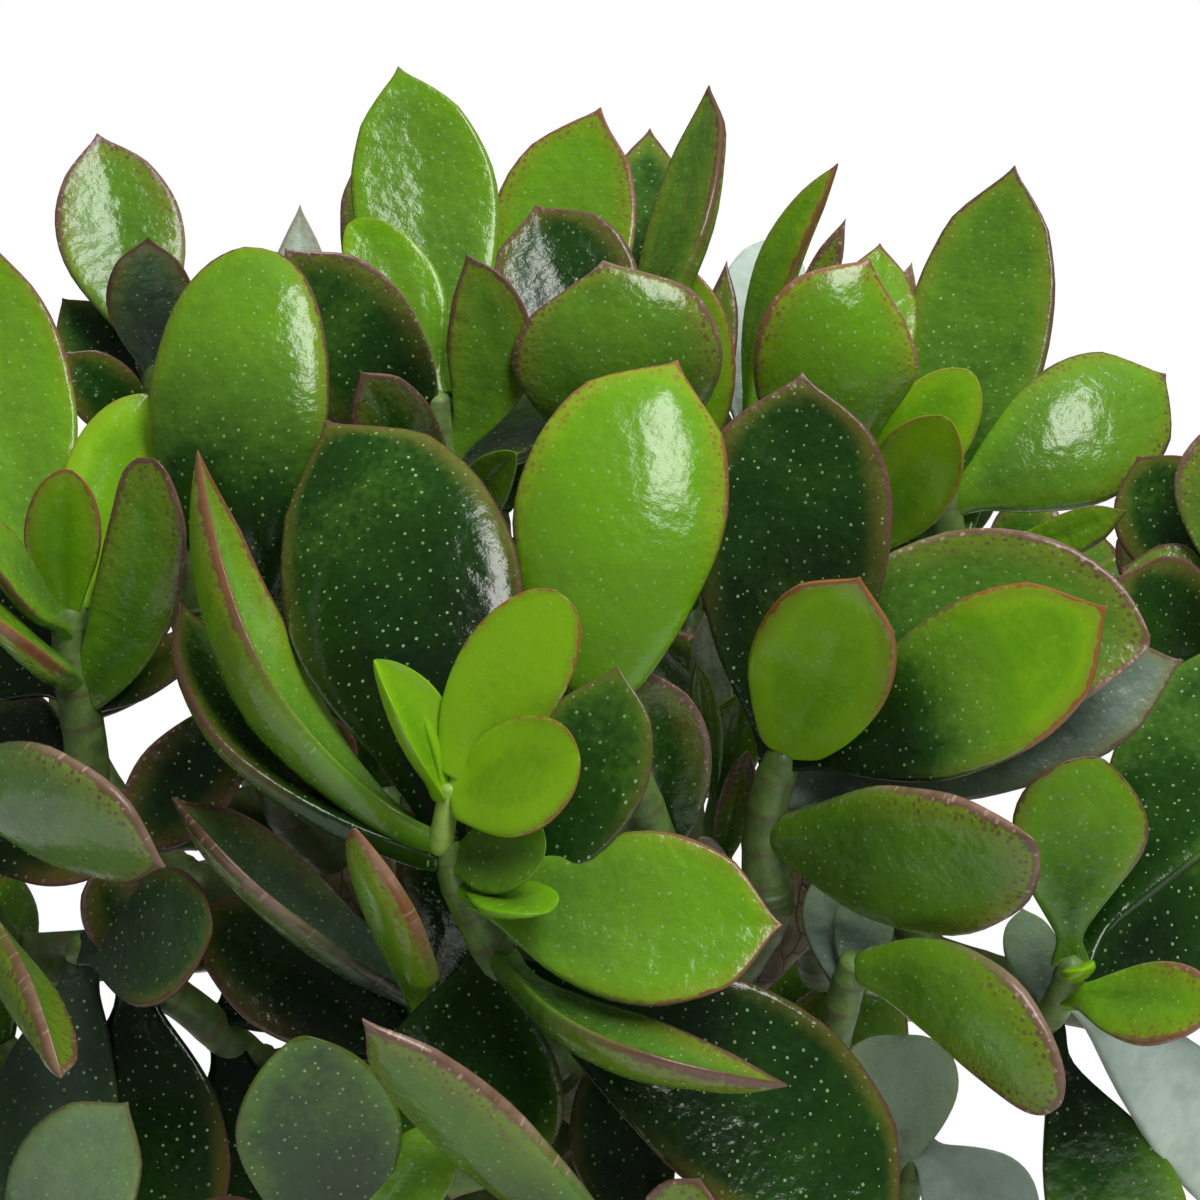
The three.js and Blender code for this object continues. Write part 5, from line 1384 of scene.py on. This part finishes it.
def leaf_skin_effect(dots, mottle):
    """The skin of a jade leaf from the layers on its mesh."""
    wiring, given, out = effect(
        "Leaf skin",
        {
            "Rim": (COLOUR, RIM),
            "Rim width": (FLOAT, 1.3),
            "Dot strength": (FLOAT, 0.8),
            "Brighten": (FLOAT, 0.0),
        },
        {"Colour": COLOUR, "Roughness": FLOAT, "Coat": FLOAT, "Height": FLOAT},
    )
    times, plus, ranged, mixed = wiring.times, wiring.plus, wiring.ranged, wiring.mixed
    place = wiring.layer("place")
    edge, along, side = wiring.parts(wiring.layer("shape"))
    tone, bloom, strong = wiring.parts(wiring.layer("tint"))

    # Green: dark at the root and middle, partly the leaf's own colour and partly painted shade,
    # clearer toward the tip, and lighter at the thin edge by painted light shining through it.
    broad = mottled(wiring, mottle, place, 0.07, -0.05, 0.05)
    fine = mottled(wiring, mottle, place, 0.7, -0.03, 0.03)
    under = ranged(side, -0.25, -0.02, 0.05, 0.0)
    # Painted shade, partly the leaf's own colour: darker toward the root, less so on lime leaves.
    rise = ranged(along, 0.1, 0.8, -0.2, 0.06)
    rise = times(rise, wiring.maths("SUBTRACT", 1.15, tone))
    # Painted light: the thin edge is lightened as if light shone through it, more on lime leaves.
    painted_edge_light = plus(times(tone, 0.3), 0.07)
    painted_edge_light = times(ranged(edge, 0.0, 7.0, 1.0, 0.0), painted_edge_light)
    depth = plus(plus(tone, broad), plus(rise, painted_edge_light))
    depth = plus(depth, plus(fine, under))
    green = wiring.ramp(plus(depth, given["Brighten"], clamp=True), LEAF_TONES)

    # Pale dots, plainest on dark leaves.
    spots = use(wiring, dots, Place=place, Spacing=DOT_SPACING, Size=DOT_SIZE)["Dots"]
    patchy = mottled(wiring, mottle, place, 0.12, 0.15, 1.0)
    plain = times(ranged(tone, 0.2, 0.85, 1.0, 0.4), patchy)
    spots = times(spots, times(ranged(edge, 0.3, 0.8), plain))
    powder = mottled(wiring, mottle, place, 0.18, 0.72, 0.95)
    green = mixed(times(bloom, powder), green, POWDER)
    green = mixed(times(spots, given["Dot strength"]), green, PALE_DOT)

    # The purple-brown rim, with an olive shade and brown specks inside it. It is widest and
    # plainest toward the tip, and differs from leaf to leaf.
    ragged = mottled(wiring, mottle, place, 0.6, -0.3, 0.3)
    inward = plus(edge, ragged)
    width = times(given["Rim width"], ranged(strong, 0.0, 1.0, 0.5, 1.8, smooth=False))
    grown = times(ranged(along, 0.25, 0.7), ranged(strong, 0.0, 0.35, 0.0, 1.0))
    olive = ranged(inward, width, times(width, 3.5), 0.4, 0.0)
    green = mixed(times(olive, grown), green, OLIVE)
    shade = mixed(ranged(tone, 0.5, 0.75), given["Rim"], RIM_ON_LIME)
    specks = use(wiring, dots, Place=place, Spacing=SPECK_SPACING, Size=SPECK_SIZE)["Dots"]
    specks = times(specks, ranged(inward, width, times(width, 3.0), 0.8, 0.0))
    specks = times(specks, ranged(strong, 0.4, 0.8))
    grown = times(grown, ranged(bloom, 0.0, 1.0, 1.0, 0.4))
    band = ranged(inward, times(width, 0.6), width, 0.92, 0.0)
    rim = times(wiring.maths("MAXIMUM", band, specks), grown)
    green = mixed(rim, green, shade)

    # A strong rim has a pale crust on its outermost line, mottled and partly painted sheen, and pale
    # dots along it.
    crust_and_sheen = times(ranged(inward, 0.0, width, 1.0, 0.0), times(patchy, 0.45))
    dotted = use(wiring, dots, Place=place, Spacing=CRUST_DOT_SPACING, Size=CRUST_DOT_SIZE)["Dots"]
    crust_and_sheen = wiring.maths("MAXIMUM", crust_and_sheen, times(dotted, 0.7))
    crust_and_sheen = times(times(crust_and_sheen, band), ranged(strong, 0.5, 0.9))
    wiring.feed(out["Colour"], mixed(crust_and_sheen, green, CRUST_AND_SHEEN))

    rough = mottled(wiring, mottle, place, 0.8, 0.14, 0.23)
    rough = plus(rough, times(bloom, 0.3))
    rough = plus(rough, times(rim, 0.12))
    wiring.feed(out["Roughness"], plus(rough, times(spots, 0.15)))
    wiring.feed(out["Coat"], ranged(bloom, 0.0, 1.0, 0.2, 0.0))
    wrinkle = wiring.clouds(place, WRINKLE_SCALE, 3.0, 0.5)
    ripple = wiring.clouds(place, RIPPLE_SCALE, 1.0, 0.5)
    height = plus(wrinkle, times(ripple, 1.5))
    height = times(height, ranged(tone, 0.55, 0.8, 1.0, 0.35))
    wiring.feed(out["Height"], wiring.maths("SUBTRACT", height, times(spots, 0.35)))
    return wiring.tree


def blank_material(name):
    """A material with a principled shader and its wiring."""
    material = bpy.data.materials.new(name)
    material.use_nodes = True
    wiring = Wiring(material.node_tree)
    shader = material.node_tree.nodes["Principled BSDF"]
    return material, wiring, shader


def bump(wiring, shader, height, strength, distance):
    """Roughens a shader by a height; distance is in metres."""
    made = wiring.make("ShaderNodeBump")
    made.inputs["Strength"].default_value = strength
    made.inputs["Distance"].default_value = distance
    wiring.feed(made.inputs["Height"], height)
    wiring.feed(shader.inputs["Normal"], made.outputs[0])


def leaf_material(name, skin, look, rim_width, dot_strength, brighten):
    """A finish of the leaf skin."""
    material, wiring, shader = blank_material(name)
    made = use(
        wiring,
        skin,
        **{
            "Rim": (*look.rim_colour, 1),
            "Rim width": rim_width,
            "Dot strength": dot_strength,
            "Brighten": brighten,
        },
    )
    wiring.feed(shader.inputs["Base Color"], made["Colour"])
    wiring.feed(shader.inputs["Roughness"], made["Roughness"])
    wiring.feed(shader.inputs["Coat Weight"], made["Coat"])
    shader.inputs["Coat Roughness"].default_value = 0.1
    shader.inputs["IOR"].default_value = 1.4
    bump(wiring, shader, made["Height"], look.relief, 0.0006)
    return material


def stem_material(mottle):
    """Green stems: paler where young, ringed and a little rough where old."""
    material, wiring, shader = blank_material("green_stem")
    place = wiring.layer("place")
    tone, along, _ = wiring.parts(wiring.layer("tint"))
    spot = wiring.on_piece()
    cloud = mottled(wiring, mottle, spot, 260.0, -0.12, 0.12)
    greener = wiring.plus(cloud, wiring.times(along, 0.15))
    age = wiring.plus(tone, greener, clamp=True)
    green = wiring.ramp(age, STEM_TONES)
    down = wiring.parts(place)[1]
    turn = wiring.maths("FRACT", wiring.maths("DIVIDE", down, STEM_RING_SPACING))
    from_ring = wiring.maths("ABSOLUTE", wiring.maths("SUBTRACT", turn, 0.5))
    scar = wiring.ranged(from_ring, 0.03, 0.12, 0.6, 0.0)
    scar = wiring.times(scar, wiring.ranged(age, 0.5, 0.95, 1.0, 0.0))
    green = wiring.mixed(scar, green, RING_SCAR)
    wiring.feed(shader.inputs["Base Color"], green)
    wiring.feed(shader.inputs["Roughness"], mottled(wiring, mottle, spot, 500.0, 0.35, 0.6))
    bump(wiring, shader, wiring.clouds(spot, 900.0, 3.0, 0.6), 0.35, 0.0003)
    return material


def bark_material(mottle):
    """Old wood: satin green-brown bark with fine cracks."""
    material, wiring, shader = blank_material("ringed_bark")
    spot = wiring.on_piece()
    patches = mottled(wiring, mottle, spot, 90.0, 0.0, 1.0)
    brown = wiring.ramp(patches, BARK_TONES)
    cracks = wiring.make("ShaderNodeTexVoronoi", feature="DISTANCE_TO_EDGE")
    stretch = wiring.make("ShaderNodeMapping")
    stretch.inputs["Scale"].default_value = (260, 260, 90)
    wiring.feed(stretch.inputs["Vector"], spot)
    wiring.feed(cracks.inputs["Vector"], stretch.outputs[0])
    cracks.inputs["Scale"].default_value = 1.0
    dark = wiring.ranged(cracks.outputs["Distance"], 0.0, 0.07, 0.55, 0.0)
    wiring.feed(shader.inputs["Base Color"], wiring.mixed(dark, brown, BARK_CRACK))
    wiring.feed(shader.inputs["Roughness"], mottled(wiring, mottle, spot, 300.0, 0.5, 0.8))
    fine = wiring.clouds(spot, 700.0, 4.0, 0.6)
    height = wiring.maths("SUBTRACT", fine, wiring.times(dark, 1.2))
    bump(wiring, shader, height, 0.6, 0.0006)
    return material


def terracotta_material(mottle, look):
    """Fired clay: dusty, with fine turning marks and pale lime marks toward the foot."""
    material, wiring, shader = blank_material("fired_clay")
    spot = wiring.on_piece()
    _, _, rise = wiring.parts(spot)
    shade = mottled(wiring, mottle, spot, 28.0, 0.0, 1.0)
    clay = wiring.mixed(shade, (*look.pot_colour, 1), PALE_CLAY)
    grain = mottled(wiring, mottle, spot, 900.0, 0.0, 0.3)
    clay = wiring.mixed(grain, clay, DARK_CLAY)
    lime_height = wiring.ranged(rise, 0.0, 0.07, 0.55, 0.0)
    patchy = mottled(wiring, mottle, spot, 60.0, 0.0, 1.0)
    lime = wiring.times(lime_height, patchy)
    wiring.feed(shader.inputs["Base Color"], wiring.mixed(lime, clay, LIME_MARK))
    wiring.feed(shader.inputs["Roughness"], mottled(wiring, mottle, spot, 200.0, 0.78, 0.95))
    turning = wiring.make("ShaderNodeTexWave", wave_type="BANDS", bands_direction="Z")
    turning.inputs["Scale"].default_value = 120.0
    turning.inputs["Distortion"].default_value = 1.5
    wiring.feed(turning.inputs["Vector"], spot)
    sand = wiring.clouds(spot, 1600.0, 3.0, 0.7)
    height = wiring.plus(sand, wiring.times(turning.outputs[1], 0.35))
    bump(wiring, shader, height, 0.35, 0.0004)
    return material


def soil_material(mottle):
    """Damp potting mix."""
    material, wiring, shader = blank_material("potting_mix")
    spot = wiring.on_piece()
    crumbs = wiring.clouds(spot, 420.0, 6.0, 0.7)
    wiring.feed(shader.inputs["Base Color"], wiring.ramp(crumbs, SOIL_TONES))
    wiring.feed(shader.inputs["Roughness"], mottled(wiring, mottle, spot, 150.0, 0.8, 1.0))
    bump(wiring, shader, crumbs, 1.0, 0.0015)
    return material


def grit_material(mottle):
    """Bark crumbs and pale grit."""
    material, wiring, shader = blank_material("bark_and_grit")
    spot = wiring.on_piece()
    cells = wiring.make("ShaderNodeTexVoronoi")
    cells.inputs["Scale"].default_value = 180.0
    wiring.feed(cells.inputs["Vector"], spot)
    pick = wiring.parts(cells.outputs["Color"])[0]
    wiring.feed(shader.inputs["Base Color"], wiring.ramp(pick, GRIT_TONES))
    wiring.feed(shader.inputs["Roughness"], mottled(wiring, mottle, spot, 300.0, 0.75, 0.95))
    bump(wiring, shader, wiring.clouds(spot, 1400.0, 3.0, 0.6), 0.5, 0.0004)
    return material


def materials():
    """The plant's materials by name, made on first use from the panel's values."""
    made = {m["plant_finish"]: m for m in bpy.data.materials if "plant_finish" in m}
    if made:
        return made
    look = bpy.context.scene.jade_plant_look
    dots, mottle = dots_effect(), mottle_effect()
    skin = leaf_skin_effect(dots, mottle)
    made = {
        "leaf": leaf_material("leaf_skin", skin, look, look.rim_width, look.dot_strength, 0.0),
        "young_leaf": leaf_material(
            "young_leaf_skin", skin, look, look.rim_width * YOUNG_RIM, YOUNG_DOTS, YOUNG_BRIGHTER
        ),
        "stem": stem_material(mottle),
        "bark": bark_material(mottle),
        "terracotta": terracotta_material(mottle, look),
        "soil": soil_material(mottle),
        "grit": grit_material(mottle),
    }
    for name, material in made.items():
        material["plant_finish"] = name
    return made


def area_light(name, place, sides, power, tint, mirrored=True):
    """A soft light that looks at the middle of the plant; lengths in metres, power in watts.
    One that isn't mirrored lights the plant but makes no sheen on it."""
    data = bpy.data.lights.new(name, "AREA")
    data.shape = "RECTANGLE"
    data.size, data.size_y = sides
    data.energy = power
    data.color = tint
    light = bpy.data.objects.new(name, data)
    light.location = place
    light.rotation_euler = (Vector(CANOPY) - Vector(place)).to_track_quat("-Z", "Y").to_euler()
    light.visible_glossy = mirrored
    bpy.context.scene.collection.objects.link(light)


def build_world(look):
    """White all round: plain white behind the plant, softer where it lights it, and darker
    still where the leaves mirror it."""
    world = bpy.data.worlds.new("white_studio")
    bpy.context.scene.world = world
    world.use_nodes = True
    wiring = Wiring(world.node_tree)
    world.node_tree.nodes.clear()
    ray = wiring.make("ShaderNodeLightPath")
    strength = wiring.ranged(ray.outputs["Is Glossy Ray"], 0.0, 1.0, look.room_light, look.room_sheen)
    strength = wiring.ranged(ray.outputs["Is Camera Ray"], 0.0, 1.0, strength, 1.0)
    around = wiring.make("ShaderNodeBackground")
    around.inputs["Color"].default_value = (1, 1, 1, 1)
    wiring.feed(around.inputs["Strength"], strength)
    wiring.feed(wiring.make("ShaderNodeOutputWorld").inputs[0], around.outputs[0])


def build_floor(look):
    """A round pale floor just under the pot's foot."""
    mesh = bmesh.new()
    bmesh.ops.create_circle(mesh, cap_ends=True, segments=128, radius=look.floor_radius)
    bmesh.ops.translate(mesh, verts=mesh.verts, vec=(0, 0, -FLOOR_BELOW))
    data = bpy.data.meshes.new("floor")
    mesh.to_mesh(data)
    mesh.free()
    material, wiring, shader = blank_material("pale_floor")
    spot = wiring.on_piece()
    pale = wiring.ranged(wiring.clouds(spot, 40.0, 3.0), 0.3, 0.7, 0.78, 0.82)
    join = wiring.make("ShaderNodeCombineColor")
    for socket in join.inputs[:3]:
        wiring.feed(socket, pale)
    wiring.feed(shader.inputs["Base Color"], join.outputs[0])
    shader.inputs["Roughness"].default_value = 0.8
    data.materials.append(material)
    floor = bpy.data.objects.new("floor", data)
    bpy.context.scene.collection.objects.link(floor)


def build_camera():
    """The camera of the front view: level, with its picture VIEW_STEPS steps wide."""
    data = bpy.data.cameras.new("front_view")
    data.sensor_width = SENSOR_WIDTH
    data.lens = SENSOR_WIDTH * EYE_DISTANCE / (VIEW_STEP * VIEW_STEPS)
    camera = bpy.data.objects.new("front_view", data)
    camera.location = (0, -EYE_DISTANCE * MM, VIEW_HEIGHT * MM)
    camera.rotation_euler = (math.pi / 2, 0, 0)
    bpy.context.scene.collection.objects.link(camera)
    bpy.context.scene.camera = camera


def build_stage():
    look = bpy.context.scene.jade_plant_stage
    build_world(look)
    build_floor(look)
    build_camera()
    area_light("window", WINDOW_PLACE, WINDOW_SIDES, look.window_power, WINDOW_TINT)
    area_light("ceiling", CEILING_PLACE, CEILING_SIDES, look.ceiling_power, WHITE, mirrored=False)
    bpy.context.scene.view_settings.view_transform = "Standard"


class JADE_look(bpy.types.PropertyGroup):
    """Finishes of the leaves and the pot."""

    rim_colour: bpy.props.FloatVectorProperty(
        name="Leaf rim",
        description="Colour of the band round each leaf",
        subtype="COLOR",
        size=3,
        min=0,
        max=1,
        default=colour(0x5E3F36)[:3],
    )
    rim_width: bpy.props.FloatProperty(
        name="Rim width",
        description="Width of the purple-brown band round a leaf, in millimetres",
        default=1.25,
        min=0,
        max=5,
    )
    dot_strength: bpy.props.FloatProperty(
        name="Dots",
        description="How plainly the pale dots show",
        subtype="FACTOR",
        default=0.75,
        min=0,
        max=1,
    )
    relief: bpy.props.FloatProperty(
        name="Skin relief",
        description="Strength of the skin's fine wrinkles",
        default=0.5,
        min=0,
        max=2,
    )
    pot_colour: bpy.props.FloatVectorProperty(
        name="Pot",
        description="Colour of the fired clay",
        subtype="COLOR",
        size=3,
        min=0,
        max=1,
        default=colour(0xAA6140)[:3],
    )


class JADE_stage_look(bpy.types.PropertyGroup):
    """Floor and light."""

    floor_radius: bpy.props.FloatProperty(
        name="Floor radius",
        description="Radius of the round floor",
        unit="LENGTH",
        default=0.6,
        min=0.2,
    )
    room_light: bpy.props.FloatProperty(
        name="Room light",
        description="Strength of the light from all round",
        default=0.14,
        min=0,
    )
    room_sheen: bpy.props.FloatProperty(
        name="Room sheen",
        description="Strength of the room mirrored in the leaves",
        default=0.08,
        min=0,
    )
    window_power: bpy.props.FloatProperty(
        name="Window",
        description="Power of the large soft light in front",
        subtype="POWER",
        default=13,
        min=0,
    )
    ceiling_power: bpy.props.FloatProperty(
        name="Ceiling",
        description="Power of the soft light above",
        subtype="POWER",
        default=16,
        min=0,
    )


class JADE_OT_stage(bpy.types.Operator):
    """Makes the floor, lights, white surroundings and camera"""

    bl_idname = "jade_plant.stage"
    bl_label = "Stage"

    def execute(self, context):
        build_stage()
        return {"FINISHED"}


class JADE_OT_pot(bpy.types.Operator):
    """Makes the clay pot"""

    bl_idname = "jade_plant.pot"
    bl_label = "Pot"

    def execute(self, context):
        build_pot()
        return {"FINISHED"}


class JADE_OT_soil(bpy.types.Operator):
    """Makes the soil and the grit on it"""

    bl_idname = "jade_plant.soil"
    bl_label = "Soil"

    def execute(self, context):
        build_soil()
        build_grit()
        return {"FINISHED"}


class JADE_OT_wood(bpy.types.Operator):
    """Makes the trunk, limbs and twigs"""

    bl_idname = "jade_plant.wood"
    bl_label = "Trunk and branches"

    def execute(self, context):
        build_wood(lay_shoots())
        return {"FINISHED"}


class JADE_OT_shoots(bpy.types.Operator):
    """Makes every leafy shoot"""

    bl_idname = "jade_plant.shoots"
    bl_label = "Leafy shoots"

    def execute(self, context):
        for index, (name, parent) in enumerate(lay_shoots().items()):
            build_shoot(name, parent, index)
        return {"FINISHED"}


OPERATORS = (JADE_OT_stage, JADE_OT_pot, JADE_OT_soil, JADE_OT_wood, JADE_OT_shoots)


class JADE_PT_panel(bpy.types.Panel):
    """The plant's values and its pieces."""

    bl_idname = "JADE_PT_panel"
    bl_label = "Jade plant"
    bl_space_type = "VIEW_3D"
    bl_region_type = "UI"
    bl_category = "Jade plant"

    def draw(self, context):
        for group in (context.scene.jade_plant_look, context.scene.jade_plant_stage):
            for name in group.__annotations__:
                self.layout.prop(group, name)
        for operator in OPERATORS:
            self.layout.operator(operator.bl_idname)


CLASSES = (JADE_look, JADE_stage_look, *OPERATORS, JADE_PT_panel)


def register():
    for each in CLASSES:
        bpy.utils.register_class(each)
    bpy.types.Scene.jade_plant_look = bpy.props.PointerProperty(type=JADE_look)
    bpy.types.Scene.jade_plant_stage = bpy.props.PointerProperty(type=JADE_stage_look)


def unregister():
    del bpy.types.Scene.jade_plant_stage
    del bpy.types.Scene.jade_plant_look
    for each in reversed(CLASSES):
        bpy.utils.unregister_class(each)


def main():
    register()
    bpy.ops.jade_plant.stage()
    bpy.ops.jade_plant.pot()
    bpy.ops.jade_plant.soil()
    bpy.ops.jade_plant.wood()
    bpy.ops.jade_plant.shoots()


if __name__ == "__main__":
    main()
